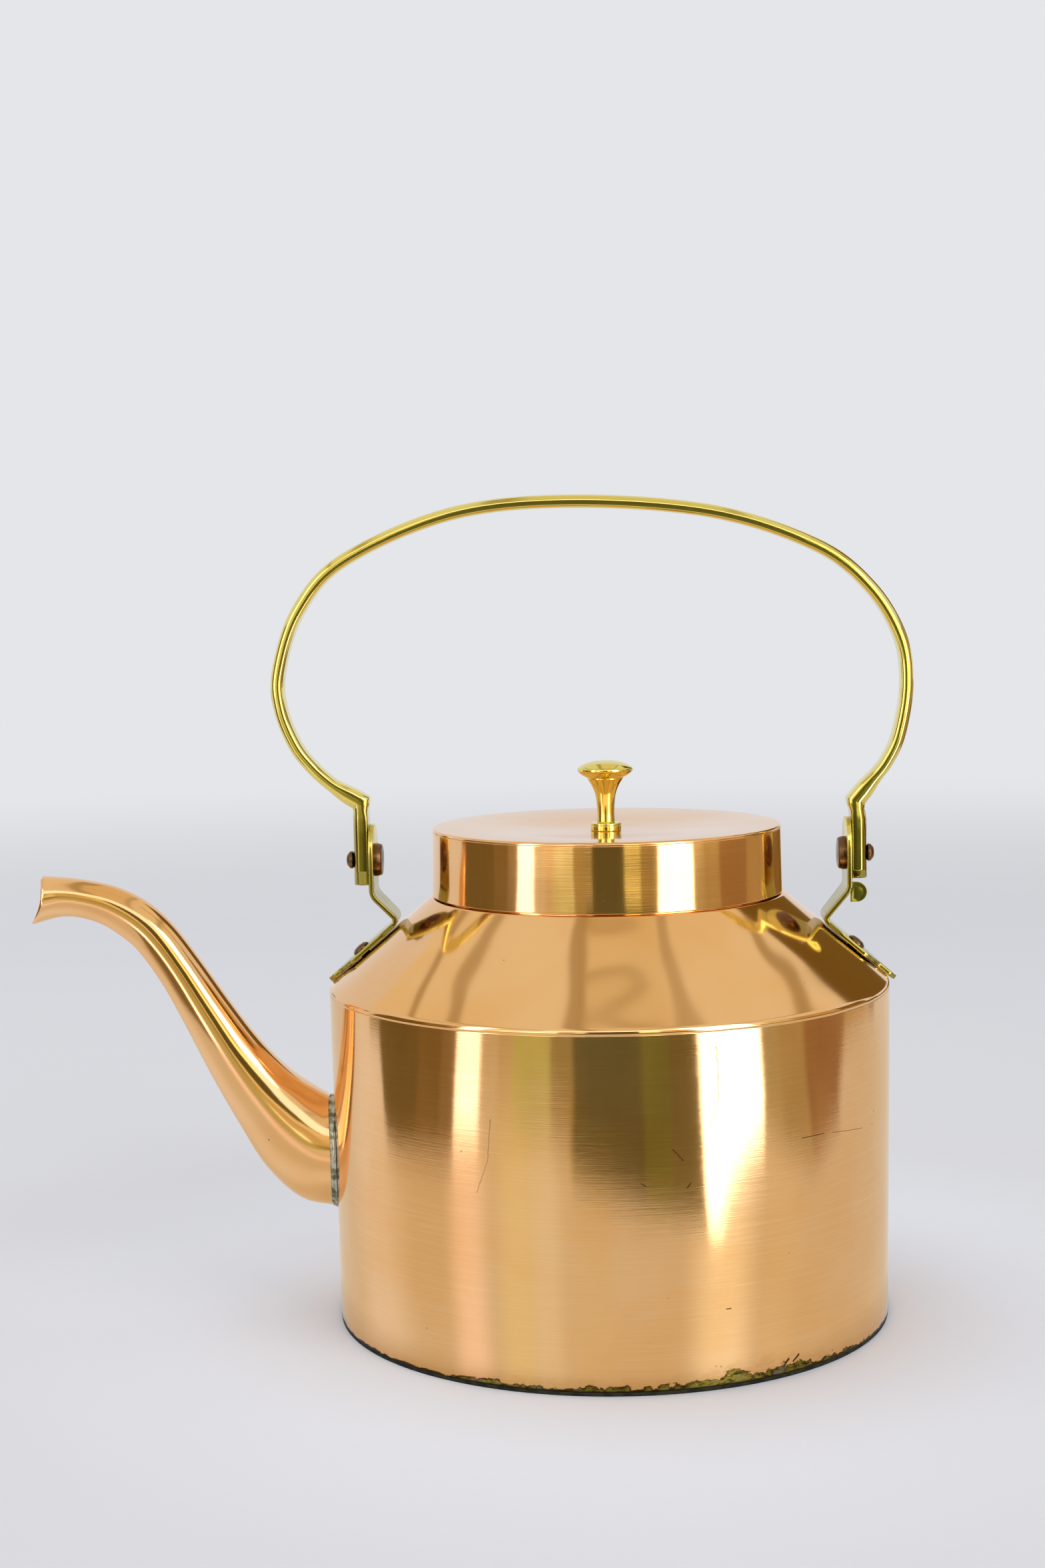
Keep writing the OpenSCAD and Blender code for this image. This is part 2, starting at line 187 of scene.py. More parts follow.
def finish_piece(name, bm, body, nodes, materials):
    """Turns a bmesh in millimetres into a smooth piece that rides on a body and replaces CAD nodes."""
    bmesh.ops.recalc_face_normals(bm, faces=bm.faces)
    bmesh.ops.scale(bm, vec=(MM, MM, MM), verts=bm.verts)
    mesh = bpy.data.meshes.new(name)
    for face in bm.faces:
        face.smooth = True
    bm.to_mesh(mesh)
    bm.free()
    piece = bpy.data.objects.new(name, mesh)
    bpy.context.scene.collection.objects.link(piece)
    for material in materials:
        mesh.materials.append(material)
    if body:
        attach(piece, body)
        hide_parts(*nodes)
    return piece


def revolve(bm, outline, sides, place=Matrix(), ripple=0, inner_from=None):
    """Adds a closed outline of (r, z) points turned about Z, moved by place.

    ripple is the depth of a slow hand-made waviness; faces whose outline index is at or past
    inner_from take the second material."""
    rows = []
    for r, z in outline:
        if r < 1e-6:
            rows.append([bm.verts.new(place @ Vector((0, 0, z)))])
            continue
        row = []
        for k in range(sides):
            angle = 2 * math.pi * k / sides
            c, s = math.cos(angle), math.sin(angle)
            wave = ripple * noise.noise(Vector((c * 3.1, s * 3.1, z / 31))) if ripple else 0
            row.append(bm.verts.new(place @ Vector(((r + wave) * c, (r + wave) * s, z))))
        rows.append(row)
    for i, row in enumerate(rows):
        after = rows[(i + 1) % len(rows)]
        if len(row) == 1 and len(after) == 1:
            continue
        for k in range(sides):
            n = (k + 1) % sides
            if len(row) == 1:
                corners = [row[0], after[k], after[n]]
            elif len(after) == 1:
                corners = [row[k], row[n], after[0]]
            else:
                corners = [row[k], row[n], after[n], after[k]]
            face = bm.faces.new(corners)
            face.material_index = 1 if inner_from is not None and i >= inner_from else 0
    return rows


def loft(bm, rings, material=0):
    """Adds skins between closed rings of 3-D points and flat caps at both ends."""
    rows = [[bm.verts.new(p) for p in ring] for ring in rings]
    for a, b in zip(rows, rows[1:]):
        for k in range(len(a)):
            n = (k + 1) % len(a)
            bm.faces.new([a[k], a[n], b[n], b[k]]).material_index = material
    bm.faces.new(rows[0]).material_index = material
    bm.faces.new(rows[-1]).material_index = material
    return rows


def sleeve(bm, rings, inner_from=None):
    """Adds a closed skin through rings of 3-D points, whose last ring joins the first."""
    rows = [[bm.verts.new(p) for p in ring] for ring in rings]
    for i, row in enumerate(rows):
        after = rows[(i + 1) % len(rows)]
        for k in range(len(row)):
            n = (k + 1) % len(row)
            face = bm.faces.new([row[k], row[n], after[n], after[k]])
            face.material_index = 1 if inner_from is not None and i >= inner_from else 0


def turned(name, outline, body, nodes, materials, sides=192, place=Matrix(), ripple=0, inner_from=None):
    bm = bmesh.new()
    revolve(bm, outline, sides, place, ripple, inner_from)
    return finish_piece(name, bm, body, nodes, materials)


def cut(piece, cutter_bm):
    """Subtracts a closed bmesh, in millimetres, from a piece and keeps the result as its mesh."""
    cutter = finish_piece(piece.name + "_cutter", cutter_bm, None, (), piece.data.materials)
    modifier = piece.modifiers.new("cut", "BOOLEAN")
    modifier.object = cutter
    modifier.solver = "EXACT"
    graph = bpy.context.evaluated_depsgraph_get()
    mesh = bpy.data.meshes.new_from_object(piece.evaluated_get(graph))
    piece.modifiers.clear()
    piece.data = mesh
    bpy.data.objects.remove(cutter)


def along_x(x, z):
    """Placement whose local Z axis runs along +X from (x, 0, z)."""
    return Matrix.Translation((x, 0, z)) @ Matrix.Rotation(math.pi / 2, 4, "Y")


# ---------------------------------------------------------------- materials

class Graph:
    """A node material with a Principled surface, and short ways to add nodes to it."""

    def __init__(self, name):
        self.material = bpy.data.materials.new(name)
        self.material.use_nodes = True
        self.tree = self.material.node_tree
        self.tree.nodes.clear()
        self.shader = self.add("ShaderNodeBsdfPrincipled")
        self.output = self.add("ShaderNodeOutputMaterial", {"Surface": self.shader.outputs[0]})
        self.place = self.add("ShaderNodeTexCoord").outputs["Object"]
        self.bumps = None

    def add(self, kind, inputs=(), **settings):
        node = self.tree.nodes.new(kind)
        for key, value in settings.items():
            setattr(node, key, value)
        for key, value in dict(inputs).items():
            self.put(node.inputs[key], value)
        return node

    def put(self, socket, value):
        if isinstance(value, bpy.types.NodeSocket):
            self.tree.links.new(value, socket)
        elif value is not None:
            socket.default_value = value

    def set(self, **sockets):
        """Sets sockets of the Principled node, with _ for a space in their names."""
        for key, value in sockets.items():
            self.put(self.shader.inputs[key.replace("_", " ")], value)

    def math(self, operation, a, b=0.0, clamp=False):
        return self.add("ShaderNodeMath", {0: a, 1: b}, operation=operation, use_clamp=clamp).outputs[0]

    def mix(self, factor, a, b):
        node = self.add("ShaderNodeMix", data_type="RGBA")
        for key, value in ((0, factor), (6, a), (7, b)):
            self.put(node.inputs[key], value)
        return node.outputs[2]

    def ease(self, value, low, high, start=0.0, end=1.0):
        """Smooth step of a value from low to high, mapped to start and end."""
        node = self.add("ShaderNodeMapRange", {"Value": value, "From Min": low, "From Max": high,
                        "To Min": start, "To Max": end}, interpolation_type="SMOOTHSTEP")
        return node.outputs[0]

    def stretched(self, x, y, z):
        """Object coordinates, scaled separately along each axis."""
        return self.add("ShaderNodeVectorMath", {0: self.place, 1: (x, y, z)}, operation="MULTIPLY").outputs[0]

    def cloud(self, vector, scale, detail=2.0, roughness=0.5):
        """Noise value from 0 to 1."""
        return self.add("ShaderNodeTexNoise", {"Vector": vector, "Scale": scale, "Detail": detail,
                        "Roughness": roughness}).outputs[0]

    def bump(self, height, strength, distance):
        node = self.add("ShaderNodeBump", {"Height": height, "Strength": strength, "Distance": distance,
                        "Normal": self.bumps})
        self.bumps = node.outputs[0]
        self.put(self.shader.inputs["Normal"], self.bumps)

    def axes(self):
        node = self.add("ShaderNodeSeparateXYZ", {0: self.place})
        return node.outputs[0], node.outputs[1], node.outputs[2]

    def compass(self):
        """Angle round Z in degrees: 0 is the front, -Y, and 90 is +X."""
        x, y, _ = self.axes()
        return self.math("MULTIPLY", self.math("ARCTAN2", x, self.math("MULTIPLY", y, -1.0)), 180 / math.pi)

    def from_axis(self):
        """Distance from the Z axis, in metres."""
        return self.add("ShaderNodeVectorMath", {0: self.stretched(1, 1, 0)},
                        operation="LENGTH").outputs["Value"]

    def times(self, *values):
        product = values[0]
        for value in values[1:]:
            product = self.math("MULTIPLY", product, value)
        return product


COPPER = (0.94, 0.58, 0.29, 1)
COPPER_DEEP = (0.90, 0.51, 0.21, 1)
BRASS = (0.87, 0.74, 0.22, 1)
BRASS_DEEP = (0.56, 0.45, 0.06, 1)


def scratches(g, vector, scale, threshold, detail=0.0):
    """Thin sparse lines: the zero crossings of a noise, broken up by another."""
    field = g.cloud(vector, scale, detail)
    line = g.math("ABSOLUTE", g.math("SUBTRACT", field, 0.5))
    thin = g.ease(line, 0.0, 0.006, 1.0, 0.0)
    where = g.ease(g.cloud(vector, scale * 0.37, 1.0), threshold, threshold + 0.05)
    return g.math("MULTIPLY", thin, where)


def copper(name, roughness, anisotropic=0.0, brushed=0.0, wavy=0.3):
    """Polished copper with slow colour change, fine scratches, pits and optional brushing round Z.

    wavy is how uneven the hammered sheet is, which makes its reflections wander."""
    g = Graph(name)
    tone = g.cloud(g.place, 22.0, 3.0)
    colour = g.mix(g.ease(tone, 0.35, 0.7), COPPER, COPPER_DEEP)
    specks = g.add("ShaderNodeTexVoronoi", {"Vector": g.place, "Scale": 260.0}).outputs["Distance"]
    few = g.ease(g.cloud(g.place, 60.0, 1.0), 0.64, 0.68)
    pits = g.math("MULTIPLY", g.ease(specks, 0.05, 0.12, 1.0, 0.0), few)
    hair = scratches(g, g.stretched(1, 1, 2.5), 70.0, 0.55)
    colour = g.mix(g.math("MULTIPLY", pits, 0.7), colour, (0.22, 0.10, 0.04, 1))
    lines = g.cloud(g.stretched(34, 34, 2600), 1.0, 3.0, 0.75)
    bands = g.cloud(g.stretched(9, 9, 260), 1.0, 2.0, 0.6)
    streak = g.math("ADD", g.math("MULTIPLY", lines, 0.6), g.math("MULTIPLY", bands, 0.4))
    colour = g.mix(g.ease(lines, 0.42, 0.75, 0.0, 0.25 * brushed), colour, (0.99, 0.74, 0.46, 1))
    rough = g.math("ADD", roughness - 0.03 * brushed, g.math("MULTIPLY", streak, 0.06 * brushed + 0.02))
    rough = g.math("ADD", rough, g.math("MULTIPLY", pits, 0.3))
    g.set(Metallic=1.0, Base_Color=colour, Roughness=rough)
    if anisotropic:
        g.set(Anisotropic=anisotropic, Anisotropic_Rotation=0.25,
              Tangent=g.add("ShaderNodeTangent", direction_type="RADIAL", axis="Z").outputs[0])
    if brushed:
        g.bump(streak, 0.05 * brushed, 0.0004)
    g.bump(g.math("ADD", hair, pits), -0.12, 0.0002)
    g.bump(g.cloud(g.place, 26.0, 1.0), wavy, 0.0015)
    g.colour = colour
    g.rough = rough
    return g


# Old marks on the wall: ends as (compass angle, height in mm), half width in mm, depth of the stain.
WALL_MARKS = [
    ((20.1, 103), (20.4, 88), 0.12, 0.9), ((20.4, 88), (18.8, 79), 0.10, 0.8),
    ((11.6, 73.4), (13.4, 70), 0.2, 0.5), ((39, 72), (45, 71.9), 0.11, 0.9),
    ((47.5, 71.4), (58.6, 69.4), 0.08, 0.8), ((34.2, 3.4), (35.4, 5.4), 0.35, 1.0),
    ((36.6, 4.4), (38, 6), 0.3, 1.0), ((-22.8, 81.6), (-23.4, 70.3), 0.12, 0.5),
    ((-23.4, 70.3), (-26, 59.2), 0.1, 0.5), ((21.8, 24.2), (22.6, 24.2), 0.2, 0.8),
    ((5.6, 63.8), (6.4, 62.9), 0.16, 0.5), ((14.7, 63), (14.1, 61.8), 0.2, 0.6)]


def stroke(g, place, start, end, half):
    """Strength of a thin line between two points of the unrolled wall."""
    run = Vector((*end, 0)) - Vector((*start, 0))
    from_start = g.add("ShaderNodeVectorMath", {0: place, 1: (*start, 0)}, operation="SUBTRACT").outputs[0]
    along = g.add("ShaderNodeVectorMath", {0: from_start, 1: run / run.length_squared}, operation="DOT_PRODUCT")
    share = g.math("ADD", along.outputs["Value"], 0.0, clamp=True)
    reach = g.add("ShaderNodeVectorMath", {0: tuple(run), "Scale": share}, operation="SCALE").outputs[0]
    off = g.add("ShaderNodeVectorMath", {0: from_start, 1: reach}, operation="DISTANCE").outputs["Value"]
    return g.ease(off, half * 0.6, half * 1.5, 1.0, 0.0)


def copper_wall():
    """Brushed wall copper with a mottled patina along its lower edge, a painted contact shadow at its very
    bottom and a few old marks.
    """
    g = copper("copper_wall", 0.085, anisotropic=0.7, brushed=1.0, wavy=0.12)
    turn = g.compass()
    up = g.math("MULTIPLY", g.axes()[2], 1000.0)
    arc = math.radians(wall_r(WALL_TOP / 2))     # millimetres along the wall for one degree
    wander = g.math("MULTIPLY", g.math("SUBTRACT", g.cloud(g.place, 300.0, 2.0), 0.5), 1.2)
    across = g.math("ADD", g.math("MULTIPLY", turn, arc), wander)
    flat = g.add("ShaderNodeCombineXYZ", {0: across, 1: up}).outputs[0]
    stain = 0.0
    for (a0, z0), (a1, z1), half, depth in WALL_MARKS:
        line = stroke(g, flat, (a0 * arc, z0), (a1 * arc, z1), half)
        stain = g.math("MAXIMUM", stain, g.math("MULTIPLY", line, depth))
    # The patina's height in millimetres: a thin line all round, more at the front, most to the right of it.
    front = g.times(g.ease(turn, -36, -20), g.ease(turn, 48, 66, 1.0, 0.0), 1.2)
    tallest = g.times(g.ease(turn, 10, 25), g.ease(turn, 30, 45, 1.0, 0.0), 2.0)
    ragged = g.ease(g.cloud(g.stretched(210, 210, 300), 1.0, 4.0, 0.6), 0.32, 0.68, 0.3, 1.3)
    height = g.math("MULTIPLY", g.math("ADD", g.math("ADD", front, tallest), 0.7), ragged)
    over = g.math("SUBTRACT", up, g.math("ADD", height, BOTTOM_T))
    patina = g.ease(over, -0.25, 0.25, 1.0, 0.0)
    rim = g.times(g.ease(over, -0.8, -0.2), patina)
    halo = g.ease(over, 0.0, 3.5, 0.45, 0.0)
    mottled = g.cloud(g.stretched(420, 420, 900), 1.0, 4.0, 0.65)
    green = g.mix(g.ease(mottled, 0.38, 0.6), (0.045, 0.03, 0.008, 1), (0.26, 0.21, 0.035, 1))
    green = g.mix(g.ease(g.cloud(g.place, 260.0, 2.0), 0.56, 0.7), green, (0.16, 0.15, 0.13, 1))
    green = g.mix(rim, green, (0.09, 0.032, 0.008, 1))
    # Painted contact shadow and dark patina: the lowest 0.9 mm of the wall goes near black, just above the
    # floor.
    green = g.mix(g.ease(up, BOTTOM_T, BOTTOM_T + 0.9, 1.0, 0.0), green, (0.02, 0.013, 0.006, 1))
    colour = g.mix(halo, g.colour, (0.80, 0.42, 0.15, 1))
    colour = g.mix(stain, colour, (0.10, 0.04, 0.012, 1))
    g.set(Base_Color=g.mix(patina, colour, green),
          Roughness=g.math("ADD", g.rough, g.math("MULTIPLY", patina, 0.3)))
    return g.material


def copper_base():
    """Oxidised copper of the underside, with rings from turning; its outer rim is near black, partly dark
    patina and partly painted contact shadow.
    """
    g = Graph("copper_base")
    tone = g.cloud(g.place, 35.0, 4.0)
    brown = g.mix(g.ease(tone, 0.35, 0.68), (0.30, 0.13, 0.05, 1), (0.62, 0.31, 0.13, 1))
    fine = g.ease(g.cloud(g.place, 300.0, 2.0), 0.4, 0.6)
    green = g.mix(fine, (0.012, 0.01, 0.006, 1), (0.03, 0.025, 0.01, 1))
    radius = g.from_axis()
    # Painted contact shadow and dark patina: the outer rim of the underside is near black and not metal.
    rim = g.ease(radius, 0.0855, 0.0885)
    rings = g.math("SINE", g.math("MULTIPLY", radius, 5200.0))
    g.set(Metallic=g.math("SUBTRACT", 1.0, rim), Base_Color=g.mix(rim, brown, green),
          Roughness=g.math("ADD", g.ease(tone, 0.3, 0.7, 0.28, 0.5), g.math("MULTIPLY", rim, 0.35)),
          Specular_IOR_Level=0.2)
    g.bump(rings, 0.08, 0.0002)
    return g.material


def tin():
    """Wiped tin lining: grey, smeared, dull."""
    g = Graph("tin_lining")
    smear = g.cloud(g.stretched(18, 18, 60), 1.0, 4.0)
    g.set(Metallic=1.0, Base_Color=g.mix(smear, (0.58, 0.57, 0.54, 1), (0.78, 0.77, 0.74, 1)),
          Roughness=g.ease(smear, 0.3, 0.7, 0.28, 0.45))
    g.bump(smear, 0.25, 0.0006)
    return g.material


def solder():
    """Lumpy grey solder with a green tarnish."""
    g = Graph("solder_grey")
    lumps = g.cloud(g.place, 420.0, 3.0)
    colour = g.mix(g.ease(lumps, 0.36, 0.6), (0.13, 0.13, 0.08, 1), (0.52, 0.51, 0.44, 1))
    g.set(Metallic=0.9, Base_Color=colour, Roughness=g.ease(lumps, 0.3, 0.7, 0.5, 0.3))
    g.bump(lumps, 0.3, 0.0003)
    return g.material


def brass(name, roughness, tarnish, low=None):
    """Yellow brass with olive tarnish in patches; below the height low, in metres, it is painted darker, as
    shade and dark reflection.
    """
    g = Graph(name)
    patches = g.cloud(g.place, 75.0, 4.0, 0.6)
    worn = g.ease(patches, 0.62 - 0.3 * tarnish, 0.78 - 0.2 * tarnish)
    colour = g.mix(g.math("MULTIPLY", worn, 0.3 + 0.5 * tarnish), BRASS, BRASS_DEEP)
    if low:
        z = g.axes()[2]
        # Painted shade and dark reflection: dark olive below the height low.
        colour = g.mix(g.ease(z, low - 0.006, low + 0.006, 0.8, 0.0), colour, (0.26, 0.23, 0.045, 1))
    g.set(Metallic=1.0, Base_Color=colour,
          Roughness=g.math("ADD", roughness, g.math("MULTIPLY", worn, 0.08)))
    g.bump(g.cloud(g.place, 90.0, 2.0), 0.06, 0.0008)
    return g.material


def rivet_copper():
    """Dark, handled copper of the rivets."""
    g = Graph("rivet_copper")
    tone = g.cloud(g.place, 240.0, 3.0)
    g.set(Metallic=1.0, Base_Color=g.mix(tone, (0.07, 0.045, 0.02, 1), (0.26, 0.14, 0.07, 1)),
          Roughness=g.ease(tone, 0.3, 0.7, 0.36, 0.2))
    g.bump(tone, 0.3, 0.0004)
    return g.material


MAT = {
    "wall": copper_wall(),
    "copper": copper("copper_polished", 0.08, brushed=0.15, wavy=0.9).material,
    "spout": copper("copper_spout", 0.10, brushed=0.25).material,
    "lid": copper("copper_lid", 0.09, anisotropic=0.5, brushed=0.5).material,
    "base": copper_base(),
    "tin": tin(),
    "solder": solder(),
    # brass_handle and brass_bracket are painted darker below low, as shade and dark reflection.
    "brass": brass("brass_handle", 0.10, 0.2, low=0.164),
    "knob": brass("brass_knob", 0.10, 0.1),
    "bracket": brass("brass_bracket", 0.16, 0.6, low=0.150),
    "rivet": rivet_copper(),
}


# ---------------------------------------------------------------- kettle body

def bottom():
    flange = wall_r(FLANGE_TOP) - SHEET
    rim = wall_r(BOTTOM_T)
    outline = [(0, 0), (BASE_R, 0, 0.3), (rim, BOTTOM_T, 0.15), (rim - SHEET, BOTTOM_T),
               (flange, FLANGE_TOP, 0.2), (flange - SHEET, FLANGE_TOP, 0.3),
               (rim - 2 * SHEET, BOTTOM_T, 0.8), (0, BOTTOM_T)]
    points = dense(fillet(outline), 6)
    split = next(i for i, p in enumerate(points) if p[1] > BOTTOM_T - 0.01 and p[0] < rim - 0.9 * SHEET)
    return turned("base_disc", points, "kettle", ["bottom_plate"], [MAT["base"], MAT["tin"]],
                  inner_from=split)


def wall():
    outline = [(wall_r(BOTTOM_T), BOTTOM_T), (WALL_TOP_R, WALL_TOP),
               (WALL_TOP_R - SHEET, WALL_TOP), (wall_r(BOTTOM_T) - SHEET, BOTTOM_T)]
    points = dense(outline, 2.5)
    split = next(i for i, p in enumerate(points) if p[0] < wall_r(p[1]) - 0.1)
    piece = turned("wall_shell", points, "kettle", ["body_wall"], [MAT["wall"], MAT["tin"]],
                   sides=288, ripple=0.1, inner_from=split)
    # The upright slot that lets the spout's passage into the body.
    r, low, high, sides = 9.0, 41.0, 65.0, 48
    angles = [2 * math.pi * (k + 0.5) / sides for k in range(sides)]
    rings = [[(x, r * math.sin(a), (high - r if math.cos(a) > 0 else low + r) + r * math.cos(a))
              for a in angles] for x in (-BASE_R - 10, -BASE_R + 10)]
    hole = bmesh.new()
    loft(hole, rings, 1)
    cut(piece, hole)
    return piece


def shoulder():
    turn = math.pi / 2 + SLOPE_ANGLE
    back = CREASE_BEND * math.tan(turn / 2)
    centre = Vector((wall_r(CREASE_Z - back) - CREASE_BEND, CREASE_Z - back))

    def bend(radius, start, end, steps):
        return [tuple(centre + radius * Vector((math.cos(a), math.sin(a))))
                for a in (start + (end - start) * k / steps for k in range(steps + 1))]

    outer = [(WALL_TOP_R, WALL_TOP)] + bend(CREASE_BEND, 0, turn, 12) + fillet(
        [(CREASE_R - 3, CREASE_Z - 3 * SLOPE), (LEDGE_R, LEDGE_Z, 1.2), (COLLAR_R, LEDGE_Z)], closed=False)[1:]
    inner = [(COLLAR_R, LEDGE_Z - SHEET), (LEDGE_R - 0.4, LEDGE_Z - SHEET)] + bend(
        CREASE_BEND - SHEET, turn, 0, 6) + [
        (WALL_TOP_R - 2 * SHEET, WALL_TOP - 1), (wall_r(SHOULDER_LOW) - 2 * SHEET, SHOULDER_LOW),
        (wall_r(SHOULDER_LOW) - SHEET, SHOULDER_LOW), (WALL_TOP_R - SHEET, WALL_TOP)]
    outer, inner = dense(outer, 2, closed=False), dense(inner, 5, closed=False)
    return turned("shoulder_cone", outer + inner, "kettle", ["shoulder"],
                  [MAT["copper"], MAT["tin"]], sides=288, ripple=0.1, inner_from=len(outer) - 1)


def neck():
    outline = fillet([(COLLAR_R, COLLAR_LOW), (COLLAR_R, COLLAR_TOP, 0.45),
                      (COLLAR_R - SHEET, COLLAR_TOP, 0.45), (COLLAR_R - SHEET, COLLAR_LOW)])
    points = dense(outline, 4)
    split = next(i for i, p in enumerate(points) if p[0] < COLLAR_R - 0.9 * SHEET)
    return turned("neck_ring", points, "kettle", ["neck_collar"], [MAT["copper"], MAT["tin"]],
                  inner_from=split)


def seam(name, node, outline):
    """A lumpy ring of solder in an inside corner."""
    bm = bmesh.new()
    rows = revolve(bm, dense(outline, 0.5), 240)
    for row in rows:
        for vert in row:
            out = Vector((vert.co.x, vert.co.y, 0)).normalized()
            vert.co -= out * 0.25 * (0.5 + noise.noise(vert.co * 0.22))
    return finish_piece(name, bm, "kettle", [node], [MAT["solder"]])


def seams():
    low = box_mm("bottom_solder")[0].z
    inside = wall_r(low) - SHEET
    seam("bottom_seam", "bottom_solder", [(inside - SHEET, low), (inside, low), (inside, low + 2)])
    high = box_mm("shoulder_solder")[1].z
    inside = wall_r(high) - SHEET
    seam("shoulder_seam", "shoulder_solder", [(inside - SHEET, high), (inside, high - 2), (inside, high)])
    under = LEDGE_Z - SHEET
    seam("neck_seam", "neck_solder", [(COLLAR_R + 0.25, under), (COLLAR_R + 0.25, under - 1.6),
                                      (COLLAR_R + 1.8, under)])


# ---------------------------------------------------------------- spout

# Top edge x and z, bottom edge x and z, and width at stations from the wall to the mouth.
SPOUT = [
    (-90, 70, -90, 34, 29), (-92.5, 71, -103, 37, 28), (-98, 74.4, -114.4, 47.6, 25),
    (-106.6, 80.6, -122.9, 61.6, 21.5), (-116.3, 90.8, -131.7, 77.8, 18.5),
    (-125.8, 103.8, -139.6, 94, 16.5), (-135.2, 117.6, -147.4, 109, 15.2),
    (-143.6, 129, -154.6, 119.6, 14.6), (-151.6, 136.4, -159.8, 124.6, 14.2),
    (-161.2, 141.4, -166.4, 129, 14), (-171, 143.9, -173.2, 131.4, 14),
    (-178.6, 145, -180.2, 131.9, 14.2), (-185.9, 145.6, -189.9, 129.6, 15)]
SPOUT_SHEET = 0.9
MOUTH_DIP = 2.4
SPOUT_SIDES = 72


def spout_point(station, angle, inset, wall_share=0.0, dip=0.0):
    """A point of the spout's section: angle 0 at the top; wall_share 1 lays it on the wall."""
    top, low = Vector((station[0], station[1])), Vector((station[2], station[3]))
    half = (top - low).length / 2
    up = (top - low) / (2 * half)
    y = (station[4] / 2 - inset) * math.sin(angle) * (1 + 0.16 * math.cos(angle))
    p = (top + low) / 2 + up * (half - inset) * math.cos(angle)
    x = p.x + dip * math.sin(angle) ** 2
    if wall_share:
        on_wall = -math.sqrt(wall_r(p.y) ** 2 - y * y)
        x += (on_wall - x) * wall_share
    return Vector((x, y, p.y))


def spout_ring(station, inset, wall_share=0.0, dip=0.0):
    return [spout_point(station, 2 * math.pi * k / SPOUT_SIDES, inset, wall_share, dip)
            for k in range(SPOUT_SIDES)]


def spout():
    rows = spline(SPOUT, 8)
    last = len(rows) - 1

    def skin(inset):
        return [spout_ring(row, inset, float(i == 0), MOUTH_DIP * smoothstep(last - 8, last, i))
                for i, row in enumerate(rows)]

    lip = [p + Vector((-0.25, 0, 0)) for p in spout_ring(rows[-1], SPOUT_SHEET / 2, 0, MOUTH_DIP)]
    bm = bmesh.new()
    sleeve(bm, skin(0) + [lip] + skin(SPOUT_SHEET)[::-1], inner_from=last + 3)
    return finish_piece("spout_shell", bm, "kettle", ["spout_tube"], [MAT["spout"], MAT["tin"]])


def spout_seam():
    """Lumpy band of solder wrapped round the spout's root and wiped onto the wall."""
    rows = spline(SPOUT, 24)
    width, count = 2.0, 9
    rings = []
    for j in range(count):
        share = j / (count - 1)
        ring = []
        for k in range(SPOUT_SIDES):
            angle = 2 * math.pi * k / SPOUT_SIDES
            start = spout_point(rows[0], angle, 0, 1)
            i = next(n for n, row in enumerate(rows) if start.x - spout_point(row, angle, 0).x >= width * share)
            point = spout_point(rows[i], angle, 0, float(i == 0))
            point.x = start.x - width * share
            out = Vector((0, math.sin(angle), math.cos(angle)))
            lump = 0.5 + noise.noise(Vector((share * 1.6, math.cos(angle) * 5, math.sin(angle) * 5)))
            lift = 0.12 + 0.5 * math.sin(math.pi * share) ** 0.7 * lump + 0.9 * (1 - share) ** 4
            ring.append(point + out * max(0.05, lift if share < 1 else 0.02))
        rings.append(ring)
    bm = bmesh.new()
    sleeve(bm, rings + [spout_ring(rows[0], -0.02, 1)])
    return finish_piece("spout_seam", bm, "kettle", ["spout_solder"], [MAT["solder"]])


# ---------------------------------------------------------------- lid and knob

def lid_disc():
    """Top disc with a rolled edge and a shallow dish, flat in the middle where the knob stands."""
    def sunk(r):
        return LID_DISH * smoothstep(LID_TOP_R - 4, 6, r)

    radii = [TENON_R, 4, 6, 8] + [10 + 2.6 * k for k in range(17)]
    upper = [(r, LID_TOP - sunk(r)) for r in radii]
    under = [(r, PLATE_LOW - sunk(r)) for r in radii]
    edge = fillet([(LID_TOP_R - 2, PLATE_LOW), (LID_TOP_R - 0.3, PLATE_LOW), (LID_TOP_R, PLATE_LOW + 0.1),
                   (LID_TOP_R, LID_TOP, 0.8), (LID_TOP_R - 2, LID_TOP)], closed=False)
    return turned("lid_disc", under + edge + upper[::-1], "lid", ["lid_plate"], [MAT["lid"]],
                  sides=240)


def lid_band():
    skin = 0.9
    outline = [(LID_R, LID_LOW, 0.4), (LID_TOP_R, PLATE_LOW), (LID_TOP_R - skin, PLATE_LOW),
               (LID_R - skin, LID_LOW, 0.3)]
    points = dense(fillet(outline), 1.5)
    return turned("lid_band", points, "lid", ["lid_skirt"], [MAT["lid"]], sides=288, ripple=0.12)


def knob():
    z0, top = KNOB_LOW, KNOB_TOP
    peen = box_mm("knob_washer")[0].z
    stem = 2.8
    under = [(0, peen - 1.4), (2.6, peen - 1.4, 0.5), (3.4, peen - 0.6, 0.3), (3.4, peen), (TENON_R, peen),
             (TENON_R, z0), (stem + 0.1, z0)]
    side = spline([(stem + 0.1, z0), (stem, z0 + 4), (stem + 0.5, z0 + 9), (stem + 1.6, top - 8.4),
                   (stem + 3.0, top - 6.1)], 8)
    step = [(stem + 3.1, top - 5.9), (stem + 2.95, top - 5.75), (stem + 3.3, top - 5.6)]
    head = spline([(stem + 3.6, top - 5.45), (stem + 4.9, top - 4.7), (KNOB_R - 0.3, top - 3.8),
                   (KNOB_R, top - 3.0), (KNOB_R - 0.5, top - 2.2), (KNOB_R * 0.72, top - 1.05),
                   (KNOB_R * 0.38, top - 0.25), (0, top)], 6)
    outline = fillet(under, closed=False) + [tuple(p) for p in side[1:]] + step + [tuple(p) for p in head]
    return turned("knob_turned", outline, "lid", ["knob"], [MAT["knob"]], sides=96)


